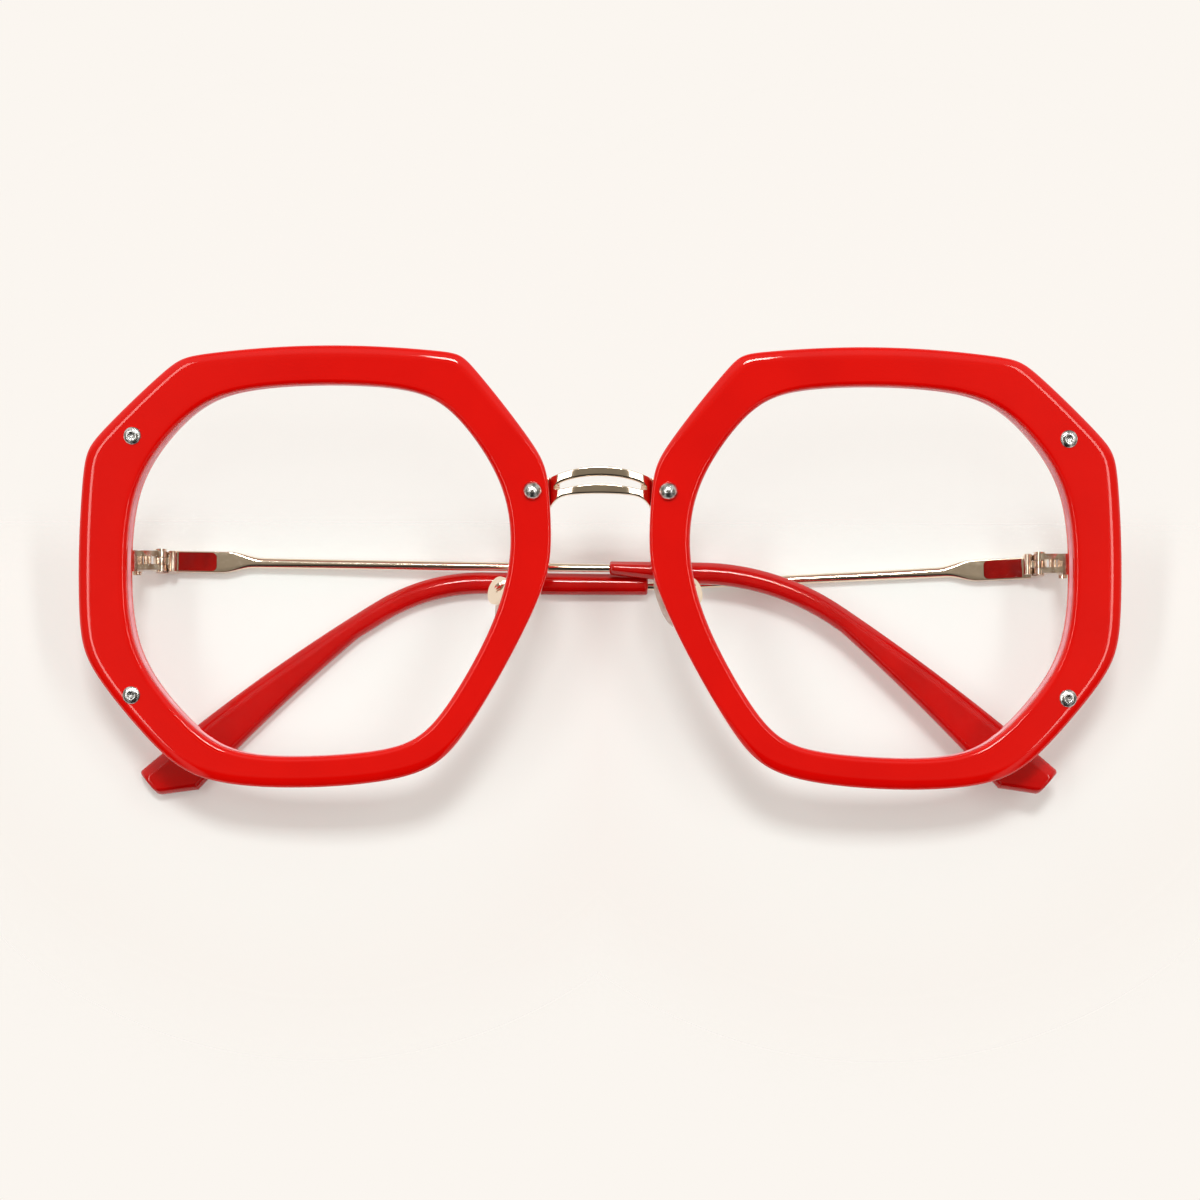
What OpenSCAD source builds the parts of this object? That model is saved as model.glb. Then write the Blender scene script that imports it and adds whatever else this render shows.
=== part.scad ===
// Polygonal eyeglasses lying front up on their folded temples.
// Right and left are the wearer's: the right side has negative X.
// Two frames are used. The rest frame has Z up and each hinge axis along Y.
// The front's own frame is the same, tilted about the hinge line, with Z out of the front.

/* [Front] */
// Distance from the middle of the front to each rim's centre, along the curved front
rim_centre = 40; // [39:0.5:43]
// How far the rims' centres lie below the hinge line
rim_drop = 0.6; // [0:0.1:3]
// Radius of the front's wrap about a vertical line behind it
wrap_radius = 490; // [300:10:900]
// Thickness of the rims
rim_t = 4.4; // [3.6:0.1:5.2]
// Tilt of the front against the temples
front_tilt = 6; // [4:0.5:9]
// Height of the front face above the hinge axis, at the bridge
front_rise = 17.3; // [16:0.1:20]
// Rounding of the rims' front edges
rim_round_front = 0.9; // [0.4:0.1:1.4]
// Rounding of the rims' back edges
rim_round_back = 0.6; // [0.3:0.1:1]

/* [Rim outline] */
// Facing angle of the temporal side
angle_temporal = 0.5; // [-3:0.5:4]
// Distance from the rim's centre to the temporal side
reach_temporal = 34.3; // [33:0.1:36]
// Rim width at the temporal side
width_temporal = 7; // [6:0.1:8]
// Facing angle of the upper outer side
angle_upper_outer = 48.5; // [45:0.5:52]
// Distance from the rim's centre to the upper outer side
reach_upper_outer = 35; // [34:0.1:37]
// Rim width at the upper outer side
width_upper_outer = 6.8; // [6:0.1:8]
// Turn of the lens opening against the rim at the upper outer side
turn_upper_outer = -6; // [-8:0.5:0]
// Facing angle of the top
angle_top = 89; // [86:0.5:92]
// Distance from the rim's centre to the top
reach_top = 30.9; // [30:0.1:33]
// Rim width at the top
width_top = 5.5; // [4:0.1:7]
// Facing angle of the upper nasal side
angle_upper_nasal = 142.5; // [139:0.5:146]
// Distance from the rim's centre to the upper nasal side
reach_upper_nasal = 34.7; // [34:0.1:36]
// Rim width at the upper nasal side
width_upper_nasal = 6; // [5:0.1:7]
// Facing angle of the nasal side
angle_nasal = 180; // [177:0.5:183]
// Distance from the rim's centre to the nasal side
reach_nasal = 33.2; // [32.4:0.1:33.8]
// Rim width at the nasal side
width_nasal = 5.2; // [4.6:0.1:6]
// Facing angle of the lower nasal side
angle_lower_nasal = 209; // [206:0.5:213]
// Distance from the rim's centre to the lower nasal side
reach_lower_nasal = 30.2; // [29.5:0.1:31.5]
// Rim width at the lower nasal side
width_lower_nasal = 4.1; // [3.6:0.1:5]
// Facing angle of the bottom
angle_bottom = 266.5; // [263:0.5:270]
// Distance from the rim's centre to the bottom
reach_bottom = 31.2; // [30:0.1:33]
// Rim width at the bottom
width_bottom = 4.4; // [3.6:0.1:6]
// Facing angle of the lower outer side
angle_lower_outer = 317.5; // [314:0.5:321]
// Distance from the rim's centre to the lower outer side
reach_lower_outer = 34.4; // [33:0.1:36]
// Rim width at the lower outer side
width_lower_outer = 5.8; // [5:0.1:7]
// Straightness of the sides: 1 is straight, less bows them out
side_straight = 0.88; // [0.85:0.01:0.95]
// Sharpness of the rims' outer corners at the top
sharp_top = 70; // [40:1:80]
// Sharpness of the rims' outer corners at the bottom
sharp_bottom = 12; // [10:1:24]
// Sharpness of the lens openings' corners
sharp_inner = 16; // [12:1:22]

/* [Lens] */
// Depth of the groove in the rims
groove_depth = 0.65; // [0.4:0.05:0.9]
// Width of the groove at its mouth
groove_width = 1.8; // [1.4:0.1:2.2]
// Distance of the groove's middle behind the front face
groove_back = 2; // [1.7:0.1:2.5]
// Thickness of the lenses
lens_t = 1.6; // [1.2:0.1:2]
// How far the lenses bulge out at their middle
lens_bulge = 1.4; // [0:0.1:3]
// Gap between lens and groove
lens_clearance = 0.1; // [0.05:0.01:0.15]

/* [Bridge] */
// Height of the middle of the slot above the hinge line
bridge_height = 11.5; // [10:0.1:13]
// Height of the slot at the middle
bridge_slot = 1.1; // [0.8:0.1:1.6]
// Height of the upper bar at the middle
bridge_bar_upper = 1.35; // [1:0.05:1.8]
// Height of the lower bar at the middle
bridge_bar_lower = 1.4; // [1:0.05:1.8]
// Drop of the bars from the middle to the rims
bridge_drop = 1.5; // [0.8:0.1:2]
// Thickness of the bridge's sheet
bridge_t = 1.2; // [0.8:0.1:1.4]
// How far the bridge's face lies behind the front face
bridge_back = 0.9; // [0.5:0.1:1.5]
// Bending radius at the middle of the sheet
bridge_bend = 0.9; // [0.8:0.1:1.2]
// Radius of the bridge rivets' heads
bridge_rivet_r = 1.33; // [1.1:0.01:1.6]
// Radius of the bridge rivets' shanks
bridge_shank_r = 0.65; // [0.5:0.05:0.8]

/* [Accent rivets] */
// Radius of the accent rivets' heads
accent_r = 1.28; // [1:0.01:1.6]
// Radius of the accent rivets' shanks
accent_shank_r = 0.6; // [0.4:0.05:0.8]
// Length of the accent rivets' shanks in the rim
accent_shank = 2.2; // [1.5:0.1:2.8]
// Distance of the accent rivets outward from the rim's centre
accent_out = 26.3; // [26:0.1:26.8]
// Height of the upper accent rivet above the rim's centre
accent_up = 18.2; // [17.8:0.1:18.6]
// Depth of the lower accent rivet below the rim's centre
accent_down = 18.4; // [17.8:0.1:18.8]

/* [Hinge] */
// Distance from the lens opening's temporal edge to the hinge axis
hinge_inset = 3.4; // [3.1:0.1:4]
// Radius of the hinge knuckles
knuckle_r = 1; // [0.9:0.05:1.1]
// Length of the temple's knuckle
knuckle_mid = 1; // [0.8:0.1:1.3]
// Length of each of the end piece's knuckles
knuckle_end = 0.85; // [0.7:0.05:1.1]
// Gap between knuckles
knuckle_gap = 0.05; // [0.03:0.01:0.1]
// Radius of the hinge screw's shaft
screw_r = 0.55; // [0.45:0.01:0.6]
// Running clearance of the hinge screw
screw_clearance = 0.05; // [0.03:0.01:0.08]
// Radius of the hinge screw's head
screw_head_r = 0.88; // [0.75:0.01:0.95]
// Height of the hinge screw's head
screw_head = 0.35; // [0.25:0.05:0.5]
// How far the right temple folds past the left one, which it lies over
right_lift = 2; // [1.8:0.1:2.3]

/* [Temples] */
// Height of the flat bar
bar_h = 3.05; // [2.8:0.05:3.4]
// Thickness of the flat bar
bar_t = 1.8; // [1.5:0.1:2]
// Distance from the hinge axis to the end of the flat bar
bar_length = 8.9; // [8.7:0.1:10]
// Length of the taper from the flat bar to the wire
taper_length = 5.9; // [5:0.1:7]
// Radius of the wire next to the taper
wire_r = 0.75; // [0.6:0.01:0.8]
// Radius of the wire at the tip
wire_end_r = 0.57; // [0.5:0.01:0.6]
// Depth of the wire below the right tip's upper edge
core_depth_right = 1; // [0.95:0.05:1.05]
// Depth of the wire below the left tip's upper edge
core_depth_left = 1.75; // [1.5:0.05:2]
// Length of the wire inside the tip
core_length = 12; // [8:0.5:13]
// Start of the inlay, from the hinge axis
inlay_start = 2.45; // [2.4:0.05:2.8]
// Length of the inlay
inlay_length = 5.6; // [4:0.1:5.8]
// Width of the metal border above and below the inlay
inlay_border = 0.17; // [0.15:0.01:0.5]
// Gap around the inlay
inlay_clearance = 0.03; // [0.02:0.01:0.06]
// Distance from the hinge axis to the right tip
tip_start_right = 65; // [62:0.1:66]
// Distance from the hinge axis to the left tip
tip_start_left = 56.7; // [55:0.1:60]
// Drop of the right temple's bar and wire, in degrees
drop_right = 0.9; // [0.5:0.1:1.1]
// Drop of the left temple's bar and wire, in degrees
drop_left = 3; // [2.7:0.1:3.2]
// Shift of the right temple's bar along the hinge
shift_right = 0.2; // [0:0.05:0.25]
// Shift of the left temple's bar along the hinge
shift_left = -0.25; // [-0.4:0.05:-0.2]

/* [Temple tips] */
// Thickness of the tips
tip_t = 2.9; // [2.6:0.1:3]
// Height of the tips before the bend
tip_h = 3.15; // [3:0.05:3.4]
// Height of the right tip where it starts
tip_start_h_right = 1.9; // [1.85:0.05:2.1]
// Height of the left tip where it starts
tip_start_h_left = 3; // [2.8:0.05:3.3]
// Height of the tips at the hip
tip_hip_h = 7.4; // [6:0.1:8]
// Height of the tips at the end
tip_end_h = 4.3; // [3.6:0.1:5]
// Length from the end of the tips to the hip
tip_hip = 5; // [4:0.1:6]
// Length over which the tips flare
tip_flare = 32; // [26:0.5:34]
// Length of the right tip's straight part
tip_straight_right = 13.2; // [13:0.1:15]
// Length of the left tip's straight part
tip_straight_left = 23.7; // [22:0.1:26]
// Length of the right tip's bend
tip_bend_right = 21.6; // [20:0.1:23]
// Turn of the right tip's bend
tip_turn_right = 33.3; // [31:0.1:34]
// Length of the left tip's bend
tip_bend_left = 16.6; // [14:0.1:18]
// Turn of the left tip's bend
tip_turn_left = 32.4; // [30:0.1:33]
// Length of the right tip's tail
tip_tail_right = 38.9; // [38:0.1:40.5]
// Length of the left tip's tail
tip_tail_left = 42; // [41:0.1:43.5]
// Turn over the right tip's tail
tail_turn_right = 7.2; // [6:0.1:8]
// Turn over the left tip's tail
tail_turn_left = 9; // [8:0.1:11]

/* [Nose pads] */
// Distance of the right pad from the middle of the front
pad_x_right = 12.6; // [12:0.1:13]
// Distance of the left pad from the middle of the front
pad_x_left = 11.2; // [11:0.1:12]
// How far the pads lie below the hinge line
pad_drop = 4.75; // [4:0.05:5.5]
// How far the pads lie behind the front face
pad_back = 8.4; // [8:0.1:9]
// Angle of the pads' faces against the line of sight
pad_splay = 38; // [34:1:42]
// Angle of the pads seen from the front
pad_lean = 20; // [16:1:24]
// Length of the pads
pad_length = 9.5; // [8:0.1:11]
// Width of the pads
pad_width = 6.6; // [5.6:0.1:7]
// Thickness of the pads
pad_t = 2.3; // [2:0.1:2.4]
// Radius of the pad arms' wire
arm_r = 0.55; // [0.45:0.05:0.6]

/* [Hidden] */
$fn = 48;

// Colours
acetate = [0.86, 0.08, 0.03];
acetate_dark = [0.72, 0.06, 0.05];
resin = [0.5, 0.04, 0.04];
gold = [0.86, 0.74, 0.62];
silver = [0.8, 0.8, 0.8];
clear = [0.93, 0.95, 0.97, 0.4];

// Numbers of points: round the rim between two corners, round a pad and round a wire
side_stations = 12;
pad_points = 32;
wire_points = 12;

// How far the hinge line lies above the middle of the whole object
hinge_y = 2.31;
// Gaps between pieces that are fixed to each other
seat_gap = 0.03;
fit_gap = 0.02;

// Facets of the rim's outer edge and of the lens opening: facing angle and distance
outer_facets = [[angle_temporal, reach_temporal], [angle_upper_outer, reach_upper_outer],
                [angle_top, reach_top], [angle_upper_nasal, reach_upper_nasal],
                [angle_nasal, reach_nasal], [angle_lower_nasal, reach_lower_nasal],
                [angle_bottom, reach_bottom], [angle_lower_outer, reach_lower_outer]];
inner_facets = [[angle_temporal, reach_temporal - width_temporal],
                [angle_upper_outer + turn_upper_outer, reach_upper_outer - width_upper_outer],
                [angle_top, reach_top - width_top],
                [angle_upper_nasal, reach_upper_nasal - width_upper_nasal],
                [angle_nasal, reach_nasal - width_nasal],
                [angle_lower_nasal, reach_lower_nasal - width_lower_nasal],
                [angle_bottom, reach_bottom - width_bottom],
                [angle_lower_outer, reach_lower_outer - width_lower_outer]];

// Sum of a list
function total(v, i = 0) = i < len(v) ? v[i] + total(v, i + 1) : 0;

// Turn from one direction to another, from -180 to 180
function turn_from(from, theta) = (theta - from + 540) % 360 - 180;

// Outline of a polygon with bowed sides and rounded corners, as a radius by direction
function facet_radius(theta, facets, sharp) =
    pow(total([for (f = facets) pow(max(0, cos(side_straight * turn_from(f[0], theta))) / f[1], sharp)]),
        -1 / sharp);

// Direction of the corner between two facets, where both lie equally far out
function corner_angle(f, g) =
    let (half = turn_from(f[0], g[0]) / 2)
    f[0] + half + atan((g[1] - f[1]) / ((g[1] + f[1]) * tan(side_straight * half))) / side_straight;

// The outer corners get rounder from the top to the bottom
function sharp_outer(theta) = sharp_bottom + (sharp_top - sharp_bottom) * (1 + sin(theta)) / 2;

// Radius across the rim: share 0 is the lens opening, share 1 the outer edge
function rim_radius(theta, share) =
    facet_radius(theta, inner_facets, sharp_inner) * (1 - share)
    + facet_radius(theta, outer_facets, sharp_outer(theta)) * share;

// Point of the flat rim band, before the wrap
function band(theta, share) =
    [rim_centre + rim_radius(theta, share) * cos(theta), -rim_drop + rim_radius(theta, share) * sin(theta)];

// Directions of the rings that make up a rim, closest together at its corners
corners = [for (i = [0 : len(outer_facets) - 1])
           corner_angle(outer_facets[i], outer_facets[(i + 1) % len(outer_facets)])];
station_angles = [for (i = [0 : len(corners) - 1])
                  let (span = (corners[(i + 1) % len(corners)] - corners[i] + 360) % 360)
                  for (k = [0 : side_stations - 1])
                  corners[i] + span * (1 - cos(180 * k / side_stations)) / 2];

// Places of the pieces that are set into the rims
rivet_angle = 161;
rivet_share = 0.63;
plate_angle = 1;
foot_angle = 183;
accent_upper = [rim_centre + accent_out, accent_up - rim_drop];
accent_lower = [rim_centre + accent_out, -accent_down - rim_drop];
rivet_place = band(rivet_angle, rivet_share);
plate_place = band(plate_angle, 0.5);
foot_place = band(foot_angle, 0.5);

// Angle of the wrap at a distance from the middle, and a point bent onto the wrapped front
function wrap_angle(u) = u / wrap_radius * 180 / PI;
function wrap(u, v, h) =
    [(wrap_radius + h) * sin(wrap_angle(u)), v,
     front_rise - wrap_radius + (wrap_radius + h) * cos(wrap_angle(u))];

// Hinge places that follow from the front
hinge_x = wrap(band(angle_temporal, 0)[0], 0, 0)[0] - hinge_inset;
bar_in = knuckle_r + 0.2;
bar_out = bar_in + bar_t;
hinge_z = bar_out;
knuckle_top = knuckle_mid / 2 + knuckle_gap + knuckle_end;
hole_r = screw_r + screw_clearance;

// Frames

// The front's own frame, tilted about the hinge line
module on_front() {
    translate([0, hinge_y, hinge_z]) rotate([front_tilt, 0, 0]) children();
}

// Middle of the hinge on the right side, with X inward, and its mirror image on the left side
module at_hinge(left) {
    translate([0, hinge_y, hinge_z])
        if (left) mirror([1, 0, 0]) translate([-hinge_x, 0, 0]) children();
        else translate([-hinge_x, 0, 0]) children();
}

// Left pieces keep their side, right ones are their mirror image
module on_side(left) {
    if (left) children();
    else mirror([1, 0, 0]) children();
}

// A place on the left side of the front, h above its face, with Z out of the front
module on_place(place, h) {
    translate(wrap(place[0], place[1], h)) rotate([0, wrap_angle(place[0]), 0]) children();
}

// Skins

// Closed solid over rings of equally many points; a closed run joins its last ring to its first
module skin(rings, closed = false) {
    n = len(rings);
    m = len(rings[0]);
    last = closed ? n - 1 : n - 2;
    sides = [for (i = [0 : last]) for (j = [0 : m - 1])
             let (a = i * m + j, b = i * m + (j + 1) % m,
                  c = ((i + 1) % n) * m + (j + 1) % m, d = ((i + 1) % n) * m + j)
             each [[a, b, c], [a, c, d]]];
    caps = closed ? [] : [[for (j = [m - 1 : -1 : 0]) j], [for (j = [0 : m - 1]) (n - 1) * m + j]];
    polyhedron([for (r = rings) for (p = r) p], concat(sides, caps), convexity = 8);
}

// Solid over rings that closes on a middle point in front and another behind
module lens_skin(rings, first, last) {
    n = len(rings);
    m = len(rings[0]);
    sides = [for (i = [0 : n - 2]) for (j = [0 : m - 1])
             let (a = i * m + j, b = i * m + (j + 1) % m, c = b + m, d = a + m)
             each [[a, b, c], [a, c, d]]];
    fan = [for (j = [0 : m - 1]) each [[n * m, (j + 1) % m, j],
           [n * m + 1, (n - 1) * m + j, (n - 1) * m + (j + 1) % m]]];
    polyhedron([for (r = rings) for (p = r) p, first, last], concat(sides, fan), convexity = 4);
}

// Rims

// Quarter of a circle from an angle on, in equal steps
function quarter(r, h, radius, from, steps) =
    [for (i = [0 : steps])
     [r + radius * cos(from + i * 90 / steps), h + radius * sin(from + i * 90 / steps)]];

// Cross-section of the rim as [distance from the rim's centre, height], anticlockwise
function rim_ring(theta) =
    let (ri = rim_radius(theta, 0), ro = rim_radius(theta, 1),
         f = rim_round_front, b = rim_round_back, e = rim_round_front * 0.7,
         profile = concat(
             quarter(ro - f, -f, f, 0, 3),
             quarter(ri + e, -e, e, 90, 2),
             [[ri, groove_width / 2 - groove_back], [ri + groove_depth, -groove_back],
              [ri, -groove_width / 2 - groove_back]],
             quarter(ri + b, -rim_t + b, b, 180, 2),
             quarter(ro - b, -rim_t + b, b, 270, 3)))
    [for (p = profile) wrap(rim_centre + p[0] * cos(theta), p[0] * sin(theta) - rim_drop, p[1])];

module rim() {
    difference() {
        skin([for (theta = station_angles) rim_ring(theta)], closed = true);
        for (place = [accent_upper, accent_lower]) on_place(place, 0) accent_seat();
        on_place(rivet_place, 0) bridge_rivet_seat();
        on_place(plate_place, -rim_t) plate_pins(pin_r + fit_gap, pin_depth + 0.2);
        on_place(foot_place, -rim_t) foot_pin(foot_pin_r + fit_gap, foot_pin_depth + 0.2);
    }
}

module rim_right() color(acetate) on_front() on_side(false) rim();
module rim_left() color(acetate) on_front() on_side(true) rim();

// Lenses: the edge's two flanks run along the groove's flanks

lens_apex = groove_depth - lens_clearance * 1.2;
lens_shoulder = lens_apex - lens_t / 2 * groove_depth / (groove_width / 2);

function lens_ring(share, side) =
    [for (theta = station_angles)
     let (edge = rim_radius(theta, 0), r = side == 0 ? edge + lens_apex : (edge + lens_shoulder) * share,
          h = lens_bulge * (side == 0 ? 0 : 1 - share * share) + side * lens_t / 2 - groove_back)
     wrap(rim_centre + r * cos(theta), r * sin(theta) - rim_drop, h)];

module lens() {
    lens_skin([lens_ring(0.5, 1), lens_ring(0.82, 1), lens_ring(1, 1), lens_ring(1, 0), lens_ring(1, -1),
               lens_ring(0.82, -1), lens_ring(0.5, -1)],
              wrap(rim_centre, -rim_drop, lens_bulge + lens_t / 2 - groove_back),
              wrap(rim_centre, -rim_drop, lens_bulge - lens_t / 2 - groove_back));
}

module lens_right() color(clear) on_front() on_side(false) lens();
module lens_left() color(clear) on_front() on_side(true) lens();

// Accent rivets: a flat dome with a dimple, let into the rim's face

accent_recess = 0.25;
accent_dome = 0.4;
accent_dimple_r = 0.5;

module accent_seat() {
    translate([0, 0, -accent_recess]) cylinder(r = accent_r + fit_gap * 2, h = 2);
    translate([0, 0, -accent_recess - accent_shank - 0.2])
        cylinder(r = accent_shank_r + fit_gap, h = accent_shank + 1);
}

module accent_rivet(place) {
    on_place(place, -accent_recess) {
        rotate_extrude() {
            polygon([[0, 0], [accent_r, 0], [accent_r, accent_recess],
                     for (a = [20 : 20 : 80])
                         [accent_dimple_r + (accent_r - accent_dimple_r) * cos(a),
                          accent_recess + accent_dome * sin(a)],
                     [accent_dimple_r, accent_recess + accent_dome * 0.85],
                     [accent_dimple_r * 0.45, accent_recess + accent_dome * 0.35],
                     [0, accent_recess + accent_dome * 0.25]]);
        }
        translate([0, 0, -accent_shank]) cylinder(r = accent_shank_r, h = accent_shank + 0.1);
    }
}

module accent_rivet_upper_right() color(silver) on_front() on_side(false) accent_rivet(accent_upper);
module accent_rivet_lower_right() color(silver) on_front() on_side(false) accent_rivet(accent_lower);
module accent_rivet_upper_left() color(silver) on_front() on_side(true) accent_rivet(accent_upper);
module accent_rivet_lower_left() color(silver) on_front() on_side(true) accent_rivet(accent_lower);

// Bridge: two bars bent from one sheet, back between the rims and out behind them

bridge_rivet_recess = 0.15;
leg_gap = 0.3;
slot_margin = 0.45;
bar_edge = 0.25;
// Drop of the lower edge to the rims, and the flare at its ends
lower_drop = 0.5;
flare = 1.4;
bridge_rivet_back = 0.5;
lug_r = 2.1;
leg_x = wrap(band(rivet_angle, 1)[0], 0, 0)[0] - leg_gap - bridge_t / 2;
leg_reach = leg_x + bridge_t / 2;
slot_reach = leg_reach - slot_margin;
bridge_face_z = front_rise - bridge_back - bridge_t / 2;
lug_z = wrap(rivet_place[0], 0, -rim_t - seat_gap - bridge_t / 2)[2];
lug_x = wrap(rivet_place[0], 0, -rim_t)[0];

// Half of the bridge's path as [x, z, direction], from the middle to the lug
bridge_half = [
    for (x = [0 : leg_x / 8 : leg_x - bridge_bend - 0.01]) [x, bridge_face_z, 0],
    for (a = [0 : 22.5 : 90])
        [leg_x - bridge_bend + bridge_bend * sin(a), bridge_face_z - bridge_bend + bridge_bend * cos(a), -a],
    for (a = [90 : -22.5 : 0])
        [leg_x + bridge_bend - bridge_bend * sin(a), lug_z + bridge_bend - bridge_bend * cos(a), -a],
    [lug_x, lug_z, 0]];
bridge_path = concat([for (i = [len(bridge_half) - 1 : -1 : 1])
                      [-bridge_half[i][0], bridge_half[i][1], -bridge_half[i][2]]], bridge_half);

// Heights of the four edges by the distance from the middle; past the slot the bars are one sheet
function bridge_fall(reach) = bridge_drop * pow(reach / leg_reach, 2);
function bridge_top(reach) = bridge_height + bridge_slot / 2 + bridge_bar_upper - bridge_fall(reach);
function bridge_bottom(reach) =
    bridge_height - bridge_slot / 2 - bridge_bar_lower - lower_drop * pow(reach / leg_reach, 2)
    - flare * pow(reach / leg_reach, 8);
function slot_half(reach) =
    reach < slot_reach ? bridge_slot / 2 * sqrt(1 - pow(reach / slot_reach, 8)) : -0.1;
function slot_middle(reach) = bridge_height - bridge_fall(reach) * 0.85;
function slot_top(reach) = slot_middle(reach) + slot_half(reach);
function slot_bottom(reach) = slot_middle(reach) - slot_half(reach);

function bar_low(upper, reach) = upper ? slot_top(reach) : bridge_bottom(reach);
function bar_high(upper, reach) = upper ? bridge_top(reach) : slot_bottom(reach);

// Ring of a bar with broken edges, as offset from the path, lower or upper edge, and distance from it
function bar_ring(p, upper) =
    let (e = bar_edge, t = bridge_t / 2,
         section = [[t, 0, e], [t, 1, e], [t - e, 1, 0], [e - t, 1, 0],
                    [-t, 1, e], [-t, 0, e], [e - t, 0, 0], [t - e, 0, 0]])
    [for (q = section)
     let (x = p[0] - sin(p[2]) * q[0], reach = min(leg_reach, abs(x)),
          y = q[1] == 0 ? bar_low(upper, reach) + q[2] : bar_high(upper, reach) - q[2])
     [x, y, p[1] + cos(p[2]) * q[0]]];

module bridge_bars() {
    for (upper = [true, false]) skin([for (p = bridge_path) bar_ring(p, upper)]);
}

module bridge() {
    color(gold) on_front() difference() {
        union() {
            bridge_bars();
            for (left = [true, false])
                on_side(left) on_place(rivet_place, -rim_t - seat_gap - bridge_t)
                    cylinder(r = lug_r, h = bridge_t);
        }
        for (left = [true, false])
            on_side(left) on_place(rivet_place, -rim_t - bridge_t - 1)
                cylinder(r = bridge_shank_r + fit_gap, h = bridge_t + 2);
    }
}

module bridge_rivet_seat() {
    translate([0, 0, -bridge_rivet_recess]) cylinder(r = bridge_rivet_r + fit_gap * 2, h = 2);
    translate([0, 0, -rim_t - 1]) cylinder(r = bridge_shank_r + fit_gap, h = rim_t + 2);
}

module bridge_rivet() {
    on_place(rivet_place, 0) {
        translate([0, 0, -bridge_rivet_recess]) cylinder(r = bridge_rivet_r, h = bridge_rivet_recess);
        rotate_extrude()
            polygon([[0, -0.1], [bridge_rivet_r, -0.1],
                     for (a = [0 : 10 : 80]) [bridge_rivet_r * cos(a), bridge_rivet_r * 0.85 * sin(a)],
                     [0, bridge_rivet_r * 0.85]]);
        back = rim_t + seat_gap * 2 + bridge_t;
        translate([0, 0, -back]) cylinder(r = bridge_shank_r, h = back);
        translate([0, 0, -back - bridge_rivet_back])
            cylinder(r = bridge_rivet_r * 0.8, h = bridge_rivet_back);
    }
}

module bridge_rivet_right() color(silver) on_front() on_side(false) bridge_rivet();
module bridge_rivet_left() color(silver) on_front() on_side(true) bridge_rivet();

// End pieces: a plate with pins in the rim's back, a post and two hinge knuckles

plate_w = 5.4;
plate_h = 7;
plate_t = 0.9;
pin_r = 0.6;
pin_depth = 2.2;
pin_spread = 2.2;
post_w = 3;
post_h = 3;
post_inset = 2.3;
web_low = 0.97;
web_t = 0.75;
post_low = 1.2;
foot_rib_r = 0.68;
post_top = wrap(hinge_x + post_inset + post_w / 2, 0, -rim_t - seat_gap - plate_t / 2)[2];

module plate_pins(r, depth) {
    for (side = [-1, 1]) translate([0, side * pin_spread, -0.01]) cylinder(r = r, h = depth + 0.01);
}

module endpiece(left) {
    color(gold) difference() {
        union() {
            on_front() on_side(left) {
                on_place(plate_place, -rim_t) {
                    translate([-plate_w / 2, -plate_h / 2, -plate_t - seat_gap])
                        cube([plate_w, plate_h, plate_t]);
                    translate([0, 0, -seat_gap - 0.1]) plate_pins(pin_r, pin_depth + 0.1);
                }
                translate([hinge_x + post_inset, -post_h / 2, post_low])
                    cube([post_w, post_h, post_top - post_low]);
                translate([hinge_x + post_inset + foot_rib_r + 0.15, -post_h / 2 - 0.5,
                           post_low + foot_rib_r])
                    rotate([-90, 0, 0]) cylinder(r = foot_rib_r, h = post_h + 0.5);
            }
            at_hinge(left) {
                for (y = [knuckle_top - knuckle_end, -knuckle_top]) translate([0, y, 0]) {
                    rotate([-90, 0, 0]) cylinder(r = knuckle_r, h = knuckle_end);
                    translate([-knuckle_r - 0.1, 0, 0.2])
                        cube([knuckle_r + 0.1, knuckle_end, web_low + web_t - 0.2]);
                    translate([-post_inset - 0.4, 0, web_low])
                        cube([post_inset - knuckle_r + 0.5, knuckle_end, web_t]);
                }
            }
        }
        at_hinge(left) translate([0, -5, 0]) rotate([-90, 0, 0]) cylinder(r = hole_r, h = 10);
    }
}

module endpiece_right() endpiece(false);
module endpiece_left() endpiece(true);

module hinge_screw(left) {
    color(gold) at_hinge(left) difference() {
        rotate([-90, 0, 0]) {
            translate([0, 0, -knuckle_top - 0.15]) cylinder(r = screw_r, h = knuckle_top * 2 + 0.25);
            translate([0, 0, knuckle_top + fit_gap]) cylinder(r = screw_head_r, h = screw_head);
        }
        translate([-2, knuckle_top + fit_gap + screw_head - 0.15, -0.12]) cube([4, 1, 0.24]);
    }
}

module hinge_screw_right() hinge_screw(false);
module hinge_screw_left() hinge_screw(true);

// Temples, in the frame at the hinge: X along the folded temple, Z towards the front

module at_temple(left) {
    at_hinge(left) rotate([0, left ? 0 : -right_lift, 0]) children();
}

function tip_start(left) = left ? tip_start_left : tip_start_right;
function drop(left) = left ? drop_left : drop_right;
function shift(left) = left ? shift_left : shift_right;
function start_h(left) = left ? tip_start_h_left : tip_start_h_right;
function core_depth(left) = left ? core_depth_left : core_depth_right;
function wire_y(left, x) = shift(left) - x * tan(drop(left));

wire_z = -bar_in - bar_t / 2;
tip_z = -bar_out + tip_t / 2;
tongue = 0.75;
shoulder = 1.15;
shoulder_t = 1.15;
heading_right = -0.8;
heading_left = 0.6;
function heading(left) = left ? heading_left : heading_right;

// Window and inlay outline: square at the hinge end, rounded at the other
module inlay_outline(gap) {
    h = bar_h - inlay_border * 2 - gap * 2;
    l = inlay_length - gap * 2;
    r = 0.7;
    translate([gap, -h / 2]) {
        square([l - r, h]);
        translate([0, r]) square([l, h - r * 2]);
        for (y = [r, h - r]) translate([l - r, y]) circle(r = r);
    }
}

// Everything that runs along the dropped bar
module along_bar(left) {
    translate([0, shift(left), 0]) rotate([0, 0, -drop(left)]) children();
}

// Smooth step from 0 to 1
function ease(k) = let (t = max(0, min(1, k))) t * t * (3 - 2 * t);

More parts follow.
